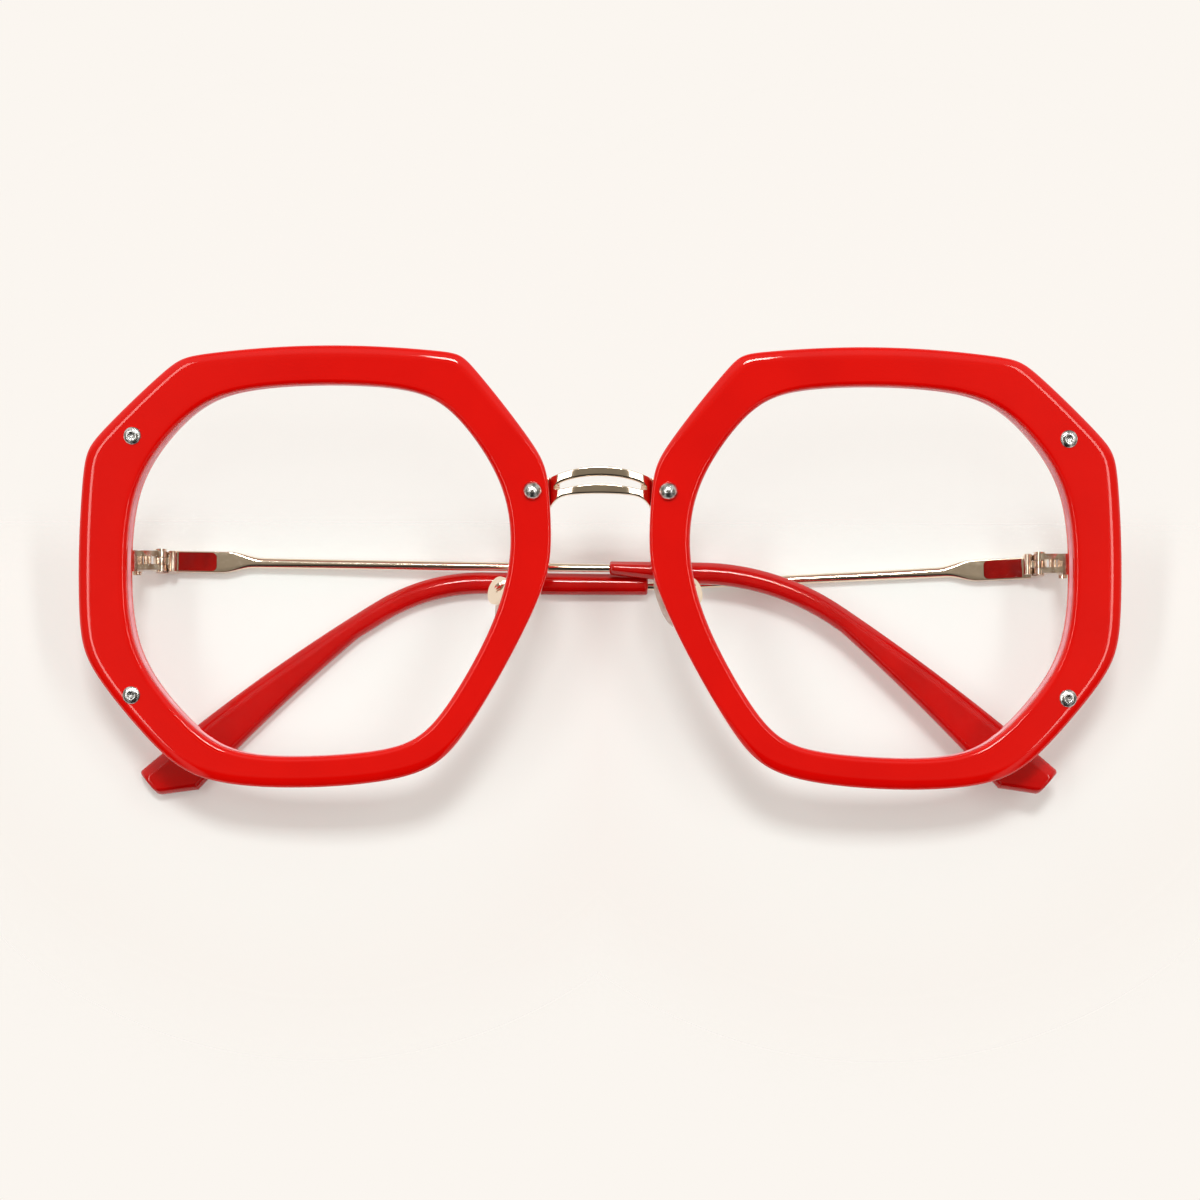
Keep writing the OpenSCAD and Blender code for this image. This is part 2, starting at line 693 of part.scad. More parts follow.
// Ring of the taper and the wire: from the bar's section to a round one
function wire_ring(x, y, z, half_y, half_z, square_share, turn) =
    [for (i = [0 : wire_points - 1])
     let (a = (i + 0.5) * 360 / wire_points, c = cos(a), s = sin(a),
          k = 1 / pow(pow(abs(c), 2 + square_share * 8) + pow(abs(s), 2 + square_share * 8),
                      1 / (2 + square_share * 8)),
          py = half_y * c * k, pz = half_z * s * k)
     [x - py * sin(turn), y + py * cos(turn), z - pz]];

module temple_wire(left) {
    start = tip_start(left);
    taper_end = bar_length + taper_length;
    slope = -drop(left);
    core_y = wire_y(left, start);
    core_end = start + core_length;
    skin(concat(
        [for (k = [0 : 0.125 : 1])
         let (x = bar_length - 0.2 + (taper_length + 0.2) * k,
              above = bar_h / 2 + (wire_r - bar_h / 2) * ease((k - 0.2) / 0.8),
              below = bar_h / 2 + (wire_r - bar_h / 2) * ease(k / 0.75),
              half_z = bar_t / 2 + (wire_r - bar_t / 2) * ease(k))
         wire_ring(x, wire_y(left, x) + (above - below) / 2, wire_z, (above + below) / 2 - 0.02,
                   half_z - 0.02, 1 - ease(k), slope)],
        [wire_ring(start - 1, wire_y(left, start - 1), tip_z, wire_end_r, wire_end_r, 0, slope),
         wire_ring(start + 1, core_y + tan(heading(left)), tip_z, wire_end_r - 0.07, wire_end_r - 0.07,
                   0, heading(left)),
         wire_ring(core_end, core_y + core_length * tan(heading(left)), tip_z, wire_end_r - 0.07,
                   wire_end_r - 0.07, 0, heading(left))]));
}

module temple(left) {
    color(gold) at_temple(left) difference() {
        union() {
            along_bar(left) difference() {
                translate([shoulder, -bar_h / 2, -bar_out]) cube([bar_length - shoulder, bar_h, bar_t]);
                translate([inlay_start, 0, -bar_out - 1]) linear_extrude(bar_t + 2) inlay_outline(0);
            }
            temple_wire(left);
            // Tongue that stops the opening temple, with a broken outer edge
            translate([0, bar_h / 2, 0]) rotate([90, 0, 0]) linear_extrude(bar_h)
                polygon([[-tongue, 0.15 - bar_out], [0, -bar_out], [shoulder + 0.2, -bar_out],
                         [shoulder + 0.2, -bar_in], [-tongue, -bar_in]]);
            // Shoulder with a rounded top
            translate([shoulder, -bar_h / 2, -bar_out]) cube([shoulder_t, bar_h, bar_out]);
            translate([shoulder + shoulder_t / 2, -bar_h / 2, 0])
                rotate([-90, 0, 0]) cylinder(r = shoulder_t / 2, h = bar_h);
            translate([0, -knuckle_mid / 2, 0]) {
                rotate([-90, 0, 0]) cylinder(r = knuckle_r, h = knuckle_mid);
                translate([0, 0, -0.9]) cube([shoulder + 0.2, knuckle_mid, 1.3]);
            }
        }
        translate([0, -5, 0]) rotate([-90, 0, 0]) cylinder(r = hole_r, h = 10);
    }
}

module temple_right() temple(false);
module temple_left() temple(true);

module temple_inlay(left) {
    color(resin) at_temple(left) along_bar(left)
        translate([inlay_start, 0, -bar_out + 0.05])
            linear_extrude(bar_t - 0.1) inlay_outline(inlay_clearance);
}

module temple_inlay_right() temple_inlay(false);
module temple_inlay_left() temple_inlay(true);

// Temple tips: sections hung from the upper edge's path

function tip_legs(left) = left
    ? [[tip_straight_left, 0], [tip_bend_left, -tip_turn_left], [tip_tail_left, -tail_turn_left]]
    : [[tip_straight_right, 0], [tip_bend_right, -tip_turn_right], [tip_tail_right, -tail_turn_right]];
function tip_length(left) = total([for (leg = tip_legs(left)) leg[0]]);

// Point and heading along a run of legs, each a length and an even turn
function run_point(legs, s, x, y, a, i = 0) =
    let (leg = legs[i], part = min(s, leg[0]), turn = leg[1] * part / leg[0],
         chord = abs(turn) < 0.001 ? part : part * sin(turn / 2) / (turn / 2 * PI / 180),
         nx = x + chord * cos(a + turn / 2), ny = y + chord * sin(a + turn / 2))
    s <= leg[0] || i == len(legs) - 1 ? [nx, ny, a + turn]
    : run_point(legs, s - leg[0], nx, ny, a + turn, i + 1);

function tip_point(left, s) =
    run_point(tip_legs(left), s, tip_start(left), wire_y(left, tip_start(left)) + core_depth(left),
              heading(left));

// Height of the tip at a distance along its upper edge
tip_lead = 12;
function tip_height(left, s) =
    let (rest = tip_length(left) - s,
         body = start_h(left) + (tip_h - start_h(left)) * min(1, s / tip_lead),
         flare = (tip_hip_h - tip_h) * max(0, min(1, (tip_hip + tip_flare - rest) / tip_flare)))
    rest > tip_hip ? body + flare : tip_end_h + (tip_hip_h - tip_end_h) * rest / tip_hip;

// Section with a wide bevel at the upper edge of the inner face; grow shrinks it at the ends
function tip_section(h, shrink) =
    let (top = -shrink, low = -h + shrink, inner = tip_t / 2 - shrink, outer = -tip_t / 2 + shrink,
         wide = min(1.3, h * 0.32), small = min(0.8, h * 0.25), lip = 0.28)
    [[top - wide, inner], [top - lip, inner - 0.75], [top, inner - 1.2], [top, outer + small],
     [top - lip, outer + lip], [top - small, outer], [low + small, outer], [low + lip, outer + lip],
     [low, outer + small], [low, inner - 1.0], [low + lip, inner - 0.45], [low + small, inner]];

function tip_ring(left, s, shrink) =
    let (p = tip_point(left, s))
    [for (q = tip_section(tip_height(left, s), shrink))
     [p[0] - q[0] * sin(p[2]), p[1] + q[0] * cos(p[2]), tip_z + q[1]]];

function tip_stations(left) =
    let (legs = tip_legs(left), a = legs[0][0], b = a + legs[1][0], n = tip_length(left))
    [0.12, 0.4, a / 3, a * 2 / 3, for (k = [0 : 7]) a + (b - a) * k / 8,
     for (k = [0 : 7]) b + (n - tip_hip - b) * k / 8, n - tip_hip - 1.2, n - tip_hip, n - tip_hip * 0.5,
     n - 0.6, n];

module temple_tip(left) {
    stations = tip_stations(left);
    color(acetate_dark) at_temple(left) difference() {
        skin([tip_ring(left, 0, 0.18),
              for (s = stations)
                  tip_ring(left, s, s == stations[0] ? 0.06 : s == tip_length(left) ? 0.45 : 0)]);
        translate([tip_start(left), wire_y(left, tip_start(left)), tip_z])
            rotate([0, 0, heading(left)]) rotate([0, 90, 0])
                translate([0, 0, -2]) cylinder(r = wire_end_r + 0.04, h = core_length + 2.3);
    }
}

module temple_tip_right() temple_tip(false);
module temple_tip_left() temple_tip(true);

// Nose pads: the pad frame has Z from the pad to the arm, X along the width and Y along the length

pivot_z = 1.1;
stem_w = 1.3;
stem_r = 0.85;
stem_hole = 0.45;
pad_pin_r = 0.4;
box_r = 2.05;
box_low = 0.45;
box_base = 2.1;
box_top = 2.7;
box_side = 0.08;
screw_seat = 1.5;
pad_head_r = 0.72;
pad_head = 0.35;
core_length_y = 7.2;
core_width_x = 4.4;
core_t = 0.75;
foot_r = 1.5;
foot_t = 0.7;
foot_pin_r = 0.5;
foot_pin_depth = 2;

function pad_x(left) = left ? pad_x_left : pad_x_right;
function pad_place(left) = [pad_x(left), -pad_drop, front_rise - pad_back];

module at_pad(left) {
    on_front() on_side(left) translate(pad_place(left))
        rotate([0, 0, pad_lean]) rotate([0, 90 - pad_splay, 0]) children();
}

// Direction of the pad frame's Z in the front's frame
pad_normal = [cos(pad_splay) * cos(pad_lean), cos(pad_splay) * sin(pad_lean), sin(pad_splay)];

function oval(half_x, half_y) =
    [for (i = [0 : pad_points - 1])
     let (a = i * 360 / pad_points)
     [half_x * sign(cos(a)) * pow(abs(cos(a)), 0.85), -half_y * sign(sin(a)) * pow(abs(sin(a)), 0.85)]];

function pad_ring(size, z) = [for (p = oval(pad_width / 2 * size, pad_length / 2 * size)) [p[0], p[1], z]];

module nose_pad(left) {
    color(clear) at_pad(left) difference() {
        skin([pad_ring(0.35, -pad_t), pad_ring(0.75, -pad_t * 0.92), pad_ring(0.94, -pad_t * 0.7),
              pad_ring(1, -pad_t * 0.38), pad_ring(0.97, -0.2), pad_ring(0.9, 0)]);
        translate([0, 0, -core_t - 0.2]) linear_extrude(core_t + 1)
            polygon(oval(core_width_x / 2 + 0.1, core_length_y / 2 + 0.1));
    }
}

module nose_pad_right() nose_pad(false);
module nose_pad_left() nose_pad(true);

module pad_core(left) {
    color(gold) at_pad(left) difference() {
        union() {
            translate([0, 0, -core_t - 0.1]) linear_extrude(core_t)
                polygon(oval(core_width_x / 2, core_length_y / 2));
            translate([-stem_w / 2, -stem_r, -0.3]) cube([stem_w, stem_r * 2, pivot_z + 0.3]);
            translate([-stem_w / 2, 0, pivot_z]) rotate([0, 90, 0]) cylinder(r = stem_r, h = stem_w);
        }
        translate([-2, 0, pivot_z]) rotate([0, 90, 0]) cylinder(r = stem_hole, h = 4);
    }
}

module pad_core_right() pad_core(false);
module pad_core_left() pad_core(true);

// Points and directions along the arm's wire, a cubic curve from the foot to the box
function curve_point(p, t) =
    p[0] * pow(1 - t, 3) + p[1] * 3 * t * pow(1 - t, 2) + p[2] * 3 * t * t * (1 - t) + p[3] * pow(t, 3);

function arm_curve(left) =
    let (start = wrap(foot_place[0], foot_place[1], -rim_t - foot_t / 2),
         finish = pad_place(left) + pad_normal * (box_base + box_top) / 2)
    [start, start + [0, -1, -1.6], finish + pad_normal * 1.2 + [0, 1.5, 0], finish];

function unit(v) = v / norm(v);

function arm_ring(points, t) =
    let (p = curve_point(points, t), d = unit(curve_point(points, t + 0.01) - curve_point(points, t - 0.01)),
         side = unit(cross(d, [0.3, 1, 0.2])), up = cross(side, d))
    [for (i = [0 : 7]) p + side * arm_r * cos(i * 45) + up * arm_r * sin(i * 45)];

module foot_pin(r, depth) {
    translate([0, 0, -0.01]) cylinder(r = r, h = depth + 0.01);
}

module pad_arm(left) {
    points = arm_curve(left);
    color(gold) {
        on_front() on_side(left) {
            on_place(foot_place, -rim_t - seat_gap) {
                translate([0, 0, -foot_t]) cylinder(r = foot_r, h = foot_t);
                translate([0, 0, -0.1]) foot_pin(foot_pin_r, foot_pin_depth + 0.1);
            }
            skin([for (k = [0 : 12]) arm_ring(points, k / 12)]);
        }
        at_pad(left) difference() {
            translate([0, 0, box_low]) cylinder(r = box_r, h = box_top - box_low);
            translate([-stem_w / 2 - box_side, -3, -1]) cube([stem_w + box_side * 2, 6, box_base + 1]);
            translate([0, 0, pivot_z]) rotate([0, 90, 0]) {
                translate([0, 0, -3]) cylinder(r = pad_pin_r + fit_gap, h = 6);
                translate([0, 0, screw_seat]) cylinder(r = pad_head_r + fit_gap * 2, h = 2);
            }
        }
    }
}

module pad_arm_right() pad_arm(false);
module pad_arm_left() pad_arm(true);

module pad_screw(left) {
    color(silver) at_pad(left) translate([0, 0, pivot_z]) rotate([0, 90, 0]) {
        translate([0, 0, 0.1 - box_r]) cylinder(r = pad_pin_r, h = screw_seat + box_r);
        translate([0, 0, screw_seat + fit_gap]) cylinder(r = pad_head_r, h = pad_head);
    }
}

module pad_screw_right() pad_screw(false);
module pad_screw_left() pad_screw(true);

rim_right();
rim_left();
lens_right();
lens_left();
bridge();
bridge_rivet_right();
bridge_rivet_left();
accent_rivet_upper_right();
accent_rivet_lower_right();
accent_rivet_upper_left();
accent_rivet_lower_left();
endpiece_right();
endpiece_left();
hinge_screw_right();
hinge_screw_left();
pad_arm_right();
pad_arm_left();
pad_screw_right();
pad_screw_left();
nose_pad_right();
nose_pad_left();
pad_core_right();
pad_core_left();
temple_right();
temple_left();
temple_inlay_right();
temple_inlay_left();
temple_tip_right();
temple_tip_left();
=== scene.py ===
"""Polygonal eyeglasses, lying front up on their folded temples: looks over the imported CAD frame.

Pieces are in the CAD's rest frame. Named lengths are in mm, unless a comment says metres, and those that
the CAD source has too are its own values. They are scaled to metres where meshes, modifiers and nodes are
made. Directions round a rim are in degrees, from its temporal side over its top.
"""
import math

import bmesh
import bpy
from mathutils import Matrix, Vector


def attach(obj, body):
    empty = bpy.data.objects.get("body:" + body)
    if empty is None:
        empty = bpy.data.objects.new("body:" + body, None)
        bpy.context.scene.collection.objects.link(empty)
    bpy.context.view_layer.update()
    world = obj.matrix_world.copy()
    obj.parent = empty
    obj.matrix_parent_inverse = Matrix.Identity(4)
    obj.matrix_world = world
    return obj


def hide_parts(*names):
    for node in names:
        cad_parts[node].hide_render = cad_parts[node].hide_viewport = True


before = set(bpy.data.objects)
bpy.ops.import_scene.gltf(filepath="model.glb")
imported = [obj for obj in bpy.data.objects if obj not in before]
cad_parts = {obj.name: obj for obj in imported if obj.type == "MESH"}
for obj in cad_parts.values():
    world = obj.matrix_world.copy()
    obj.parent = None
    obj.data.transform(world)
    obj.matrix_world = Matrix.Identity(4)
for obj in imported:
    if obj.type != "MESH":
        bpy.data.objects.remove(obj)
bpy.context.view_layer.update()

MM = 0.001
TOLERANCE = 1e-6
SIDES = ("right", "left")

# Front: rims, lenses and wrap
RIM_CENTRE = 40.0
RIM_DROP = 0.6
WRAP_RADIUS = 490.0
RIM_T = 4.4
FRONT_TILT = math.radians(6)
FRONT_RISE = 17.3
OUTER_FACETS = [(0.5, 34.3), (48.5, 35), (89, 30.9), (142.5, 34.7), (180, 33.2), (209, 30.2),
                (266.5, 31.2), (317.5, 34.4)]
RIM_WIDTHS = [7, 6.8, 5.5, 6, 5.2, 4.1, 4.4, 5.8]
TURNED_FACET = 1
INNER_TURN = -6
INNER_FACETS = [(angle + (INNER_TURN if k == TURNED_FACET else 0), reach - width)
                for k, ((angle, reach), width) in enumerate(zip(OUTER_FACETS, RIM_WIDTHS))]
SIDE_STRAIGHT = 0.88
SHARP_TOP = 70
SHARP_BOTTOM = 12
SHARP_INNER = 16
SIDE_STATIONS = 44
FACE_STEPS = 8
GROOVE_DEPTH = 0.65
GROOVE_WIDTH = 1.8
GROOVE_BACK = 2.0
LENS_T = 1.6
LENS_BULGE = 1.4
LENS_PLAY = 0.12
LENS_APEX = GROOVE_DEPTH - LENS_PLAY
LENS_SHOULDER = LENS_APEX - LENS_T / 2 * GROOVE_DEPTH / (GROOVE_WIDTH / 2)
LENS_SHARES = [0.02, 0.2, 0.4, 0.6, 0.75, 0.88, 0.96, 1.0]

# Roundings of the rims' edges

# The outer front one is wide and shallow, but narrow within a half angle of the nasal direction. Over a
# further angle it widens.
OUTER_ROUND = 1.7
OUTER_ROUND_DEPTH = 0.9
NASAL_ROUND = 0.45
NASAL_DIRECTION = 190
NASAL_HALF = 25
NASAL_EASE = 35
INNER_ROUND = 0.8
BACK_ROUND = 0.6

# Bridge, its lugs and their rivets
BRIDGE_HEIGHT = 11.5
BRIDGE_SLOT = 1.1
BRIDGE_UPPER = 1.35
BRIDGE_LOWER = 1.4
BRIDGE_DROP = 1.5
SLOT_DROP_SHARE = 0.85
BRIDGE_T = 1.2
BRIDGE_BACK = 0.9
BRIDGE_BEND = 0.9
BRIDGE_LEAN = math.radians(15)
LEAN_START = 2.9
LEAN_RUN = 1.3
BRIDGE_STEP = 0.14
BEND_STEPS = 18
LUG_BEND_STEPS = 14
BRIDGE_ROUNDS = [0.4, 0.18, 0.2, 0.3]
LOWER_DROP = 0.5
FLARE = 1.4
BRIDGE_POWER = 8
LEG_GAP = 0.3
SLOT_END = 0.45
LUG_GAP = 0.03
LUG_R = 2.1
SHANK_R = 0.65
RIVET_DIRECTION = (161, 0.63)
RIVET_R = 1.33
RIVET_DOME = RIVET_R * 0.85
RIVET_SEAT = 0.15
RIVET_TAIL = 0.5
RIVET_TAIL_EDGE = 0.38
RIVET_TAIL_R = RIVET_R * 0.8
RIVET_TAIL_END_R = RIVET_R * 0.7
RIVET_ANGLES = range(6, 90, 6)

# Accent rivets: their dimples are rows of radii and shares of the dome's height
ACCENT_R = 1.28
ACCENT_SHANK_R = 0.6
ACCENT_SHANK = 2.2
ACCENT_SUNK = 0.25
ACCENT_LIP = 0.25
ACCENT_DOME = 0.4
ACCENT_ANGLES = range(8, 86, 7)
DIMPLE = [(0.5, 0.94), (0.42, 0.72), (0.3, 0.42), (0.15, 0.28), (0, 0.25)]
ACCENT_PLACES = {"upper": (66.3, 17.6), "lower": (66.3, -19.0)}

# Hinge and temples
HINGE_INSET = 3.4
HINGE_Y = 2.31
HINGE_Z = 3.0
RIBS_X = (-1.42, -1.98)
RIB_R = 0.27
RIB_FOOT = 1.02
RIB_TOP = 1.25
RIB_HALF = 0.56
BAR_H = 3.05
BAR_T = 1.8
BAR_IN = 1.2
BAR_OUT = BAR_IN + BAR_T
BAR_Z = -BAR_IN - BAR_T / 2
BAR_CORNER = 0.13
BAR_LENGTH = 8.9
SHOULDER = 1.15
SHOULDER_LAP = 0.2
TONGUE = 0.75
TONGUE_LIP = 0.15
WEB_GAP = 0.08
WEB_TOP = 0.4
WEB_NEAR = -0.62
WEB_FAR = -0.9
KNUCKLE_R = 1.0
KNUCKLE_MID = 1.0
HOLE_R = 0.6
INLAY_START = 2.45
INLAY_LENGTH = 5.6
INLAY_END = INLAY_START + INLAY_LENGTH
INLAY_BORDER = 0.17
WINDOW_R = 0.7
WINDOW_STEPS = 4
WINDOW_R_STEPS = 9
WINDOW_SHARE = 0.98
PAST_WINDOW = 0.001
TAPER_LENGTH = 5.9
TAPER_LEAD = 0.2
TAPER_END = BAR_LENGTH + TAPER_LENGTH
TAPER_STEPS = 40
TAPER_ROUND = 0.6
TAPER_POWER = 1.5
TAPER_CORNER = 0.3
TAPER_WINDOW = 0.6
UPPER_START = 0.2
UPPER_RUN = 0.8
LOWER_RUN = 0.75
CORNER_STEPS = 6
WIRE_R = 0.75
WIRE_END_R = 0.57
WIRE_STEPS = 24
WIRE_CORNER = 0.57
WIRE_CORNER_FROM = 5
WIRE_CORNER_RUN = 80
WIRE_WINDOW = 0.2
WIRE_WINDOW_ANGLES = (88.3, 91.7)
WIRE_ROUNDING = 2.4
WIRE_JOIN = 1
CORE_LENGTH = 12.0
CORE_PLAY = 0.07
TIP_T = 2.9
TIP_H = 3.15
TIP_LEAD = 12.0
TIP_HIP_H = 7.4
TIP_END_H = 4.3
TIP_HIP = 5.0
TIP_FLARE = 32.0
TIP_STEPS = 150
TIP_BEVEL = 1.3
TIP_BEVEL_SHARE = 0.32
TIP_SMALL = 0.8
TIP_SMALL_SHARE = 0.25
TIP_LIP = 0.28
TIP_UPPER_DEPTHS = (0.75, 1.2)
TIP_LOWER_DEPTHS = (0.45, 1.0)
TIP_START = [(0, 0.3), (0.06, 0.16), (0.15, 0.07), (0.3, 0.0)]
TIP_CLOSE = [(0.45, 0.0), (0.2, 0.1), (0.05, 0.26), (0, 0.45)]
TIP_ROUNDS = [0.6, 0.3, 0.3, 0.25, 0.22, 0.22, 0.25, 0.22, 0.22, 0.25, 0.3, 0.4]
TEMPLES = {
    "right": {"lift": 2.0, "start": 65.0, "drop": 0.9, "shift": 0.2, "start_h": 1.9, "core": 1.0,
              "heading": -0.8, "legs": [(13.2, 0.0), (21.6, -33.3), (38.9, -7.2)]},
    "left": {"lift": 0.0, "start": 56.7, "drop": 3.0, "shift": -0.25, "start_h": 3.0, "core": 1.75,
             "heading": 0.6, "legs": [(23.7, 0.0), (16.6, -32.4), (42.0, -9.0)]},
}

# Nose pads: their levels are shares of the half size and of the thickness, from the back
PAD_X = {"right": 12.6, "left": 11.2}
PAD_DROP = 4.75
PAD_BACK = 8.4
PAD_SPLAY = 38.0
PAD_LEAN = 20.0
PAD_LENGTH = 9.5
PAD_WIDTH = 6.6
PAD_T = 2.3
PAD_POINTS = 96
PAD_SQUARENESS = 0.85
PAD_LEVELS = [(0.03, -1.0), (0.2, -0.995), (0.42, -0.975), (0.62, -0.93), (0.78, -0.85), (0.9, -0.72),
              (0.97, -0.56), (1.0, -0.38), (1.0, -0.22), (0.97, -0.09), (0.92, -0.02), (0.88, 0.0)]

# Meshes and modifiers
LATHE_SEGMENTS = 72
ROUND_SHARE = 0.48
NEARLY_STRAIGHT = 1e-5
BEVEL_SEGMENTS = 3
BEVEL_PAST_CREASE = 8

# Camera: on the front's own axis, through the photograph's centre
PIXELS_PER_MM = 7.15
PHOTO_WIDTH = 1200
CAMERA_DISTANCE = 500.0
CAMERA_HEIGHT = -5.35
CAMERA_ROLL = 0.2
SENSOR_WIDTH = 36.0

# Lamps

# Each is a soft box: its direction from the object, its distance, width and height in metres, and the
# level that it gives on level paper.
LAMPS = {
    "key": ((0.0, 0.39, 0.92), 2.6, 0.6, 0.46, 0.355),
    "strip left": ((-0.515, 0.05, 0.857), 2.5, 1.7, 0.3, 0.135),
    "strip right": ((0.515, 0.05, 0.857), 2.5, 1.7, 0.3, 0.135),
}

# World

# A soft tent, by the place up the picture, from its middle to its sides, below the level, and by the
# distance from the front's own axis, round which a spot that is stretched along X is dimmer.
PAPER = (0.965, 0.922, 0.871)
BLACK = (0, 0, 0)
DARK = (0.03, 0.03, 0.03)
FAINT = (0.08, 0.07, 0.06)
DIM = (0.33, 0.3, 0.25)
BRIGHT = (0.74, 0.725, 0.69)
TENT_ROWS = [(0.29, DARK), (0.40, DIM), (0.60, DIM), (0.72, BRIGHT), (0.88, BRIGHT), (0.95, DIM)]
TENT_SIDES = [(0.45, BLACK), (0.50, BRIGHT), (0.57, BRIGHT), (0.68, FAINT)]
TENT_BELOW = [(0.0, PAPER), (0.01, BLACK)]
TENT_SPOT = [(0.12, (0.7,) * 3), (0.19, (1.0,) * 3)]
SPOT_STRETCH = (0.45, 1, 1)

# Floor, in metres

# FLOOR_STEP has two places along Y and the see-through shares there. FLOOR_FAR has the distances from a
# rim's middle between which the paper turns all see-through, and FLOOR_NEAR those between which its tint
# changes from a painted lift near the rims to the one elsewhere: there the paper is painted lighter and
# less red, against the red that the rims throw on it and the shade near them.
FLOOR_HALF = 2.5
FLOOR_STEP = (0.0, 0.013, 0.24, 0.96)
FLOOR_FAR = (0.052, 0.078)
FLOOR_NEAR = (0.02, 0.06)
# Painted light: near the rims the paper is painted lighter, most of all in green and blue.
PAINTED_LIGHT_NEAR = (1.04, 1.19, 1.23)
TINT_FAR = (1.0, 1.02, 1.045)


# Frames

def turn(axis, degrees):
    return Matrix.Rotation(math.radians(degrees), 4, axis)


def shift(x, y, z):
    return Matrix.Translation((x, y, z))


SAME = Matrix.Identity(4)
MIRROR = Matrix.Diagonal((-1, 1, 1, 1))
FRONT = shift(0, HINGE_Y, HINGE_Z) @ turn("X", math.degrees(FRONT_TILT))


def on_side(side):
    """The front's pieces are made on the left and mirrored to the right."""
    return SAME if side == "left" else MIRROR


def wrap(u, v, h):
    """A point of the flat front, bent onto the wrapped one, in the front's frame."""
    a = u / WRAP_RADIUS
    r = WRAP_RADIUS + h
    return Vector((r * math.sin(a), v, FRONT_RISE - WRAP_RADIUS + r * math.cos(a)))


def turn_from(start, theta):
    """The turn from one direction to another, between -180 and 180 degrees."""
    return (theta - start + 540) % 360 - 180


def ease(k):
    """A smooth step from 0 at 0 to 1 at 1."""
    t = max(0.0, min(1.0, k))
    return t * t * (3 - 2 * t)


def facet_radius(theta, facets, sharp):
    """Radius of a many-sided outline at a direction; a higher power gives crisper corners."""
    total = sum((max(0.0, math.cos(math.radians(SIDE_STRAIGHT * turn_from(a, theta)))) / d) ** sharp
                for a, d in facets)
    return total ** (-1 / sharp)


def rim_radius(theta, share):
    """Radius across the rim: share 0 is the lens opening, share 1 the outer edge."""
    sharp = SHARP_BOTTOM + (SHARP_TOP - SHARP_BOTTOM) * (1 + math.sin(math.radians(theta))) / 2
    return (facet_radius(theta, INNER_FACETS, SHARP_INNER) * (1 - share)
            + facet_radius(theta, OUTER_FACETS, sharp) * share)


def corner_angle(f, g):
    """Direction of the corner between two facets."""
    half = turn_from(f[0], g[0]) / 2
    slope = (g[1] - f[1]) / ((g[1] + f[1]) * math.tan(math.radians(SIDE_STRAIGHT * half)))
    return f[0] + half + math.degrees(math.atan(slope)) / SIDE_STRAIGHT


def station_angles():
    """Directions round a rim, closest together at its corners."""
    n = len(OUTER_FACETS)
    corners = [corner_angle(OUTER_FACETS[i], OUTER_FACETS[(i + 1) % n]) for i in range(n)]
    result = []
    for i in range(n):
        span = (corners[(i + 1) % n] - corners[i]) % 360
        result += [corners[i] + span * (1 - math.cos(math.pi * k / SIDE_STATIONS)) / 2
                   for k in range(SIDE_STATIONS)]
    return result


STATIONS = station_angles()


def band(theta, share):
    """A point of the flat front on a rim, at a direction and a share across it."""
    r, a = rim_radius(theta, share), math.radians(theta)
    return RIM_CENTRE + r * math.cos(a), r * math.sin(a) - RIM_DROP


HINGE_X = wrap(band(0, 0)[0], 0, 0).x - HINGE_INSET


def at_hinge(side):
    """Frame at the hinge, with X from the temporal side to the middle."""
    return shift(0, HINGE_Y, HINGE_Z) @ (MIRROR if side == "left" else SAME) @ shift(-HINGE_X, 0, 0)


def at_temple(side):
    """Frame at the hinge with X along the folded temple."""
    return at_hinge(side) @ turn("Y", -TEMPLES[side]["lift"])


def at_pad(side):
    """Frame of a nose pad, with Z out of its face."""
    place = shift(PAD_X[side], -PAD_DROP, FRONT_RISE - PAD_BACK)
    return FRONT @ on_side(side) @ place @ turn("Z", PAD_LEAN) @ turn("Y", 90 - PAD_SPLAY)


# Meshes

def make_piece(name, bm, where, body, materials):
    """Turns a bmesh in mm, in the frame where, into a smooth piece of the scene."""
    bm.transform(Matrix.Scale(MM, 4) @ where)
    bmesh.ops.recalc_face_normals(bm, faces=bm.faces)
    mesh = bpy.data.meshes.new(name)
    bm.to_mesh(mesh)
    bm.free()
    mesh.shade_smooth()
    for m in materials:
        mesh.materials.append(m)
    piece = bpy.data.objects.new(name, mesh)
    bpy.context.collection.objects.link(piece)
    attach(piece, body)
    return piece


def add_rings(bm, rings, closed=False):
    """Skins rings of equally many points, with caps unless they close. Returns the faces, ring by ring."""
    rows = [[bm.verts.new(p) for p in ring] for ring in rings]
    m = len(rows[0])
    faces = []
    for i in range(len(rows) if closed else len(rows) - 1):
        a, b = rows[i], rows[(i + 1) % len(rows)]
        faces.append([bm.faces.new((a[j], a[(j + 1) % m], b[(j + 1) % m], b[j])) for j in range(m)])
    if not closed:
        bm.faces.new(rows[0])
        bm.faces.new(list(reversed(rows[-1])))
    return faces


def add_lathe(bm, profile, closed=False):
    """Turns a profile of radius and height about Z; one that starts and ends at radius 0 is solid."""
    turns = [2 * math.pi * k / LATHE_SEGMENTS for k in range(LATHE_SEGMENTS)]
    rows = []
    for r, h in profile:
        if r == 0:
            rows.append([bm.verts.new((0, 0, h))] * LATHE_SEGMENTS)
        else:
            rows.append([bm.verts.new((r * math.cos(a), r * math.sin(a), h)) for a in turns])
    for i in range(len(rows) if closed else len(rows) - 1):
        a, b = rows[i], rows[(i + 1) % len(rows)]
        for j in range(LATHE_SEGMENTS):
            k = (j + 1) % LATHE_SEGMENTS
            bm.faces.new(list(dict.fromkeys((a[j], a[k], b[k], b[j]))))


def add_prism(bm, outline, low, high, place):
    """Closed prism over an outline in X and Y, from one height to another, then moved to a place."""
    start = set(bm.verts)
    add_rings(bm, [[Vector((x, y, h)) for x, y in outline] for h in (low, high)])
    bmesh.ops.transform(bm, matrix=place, verts=[v for v in bm.verts if v not in start])


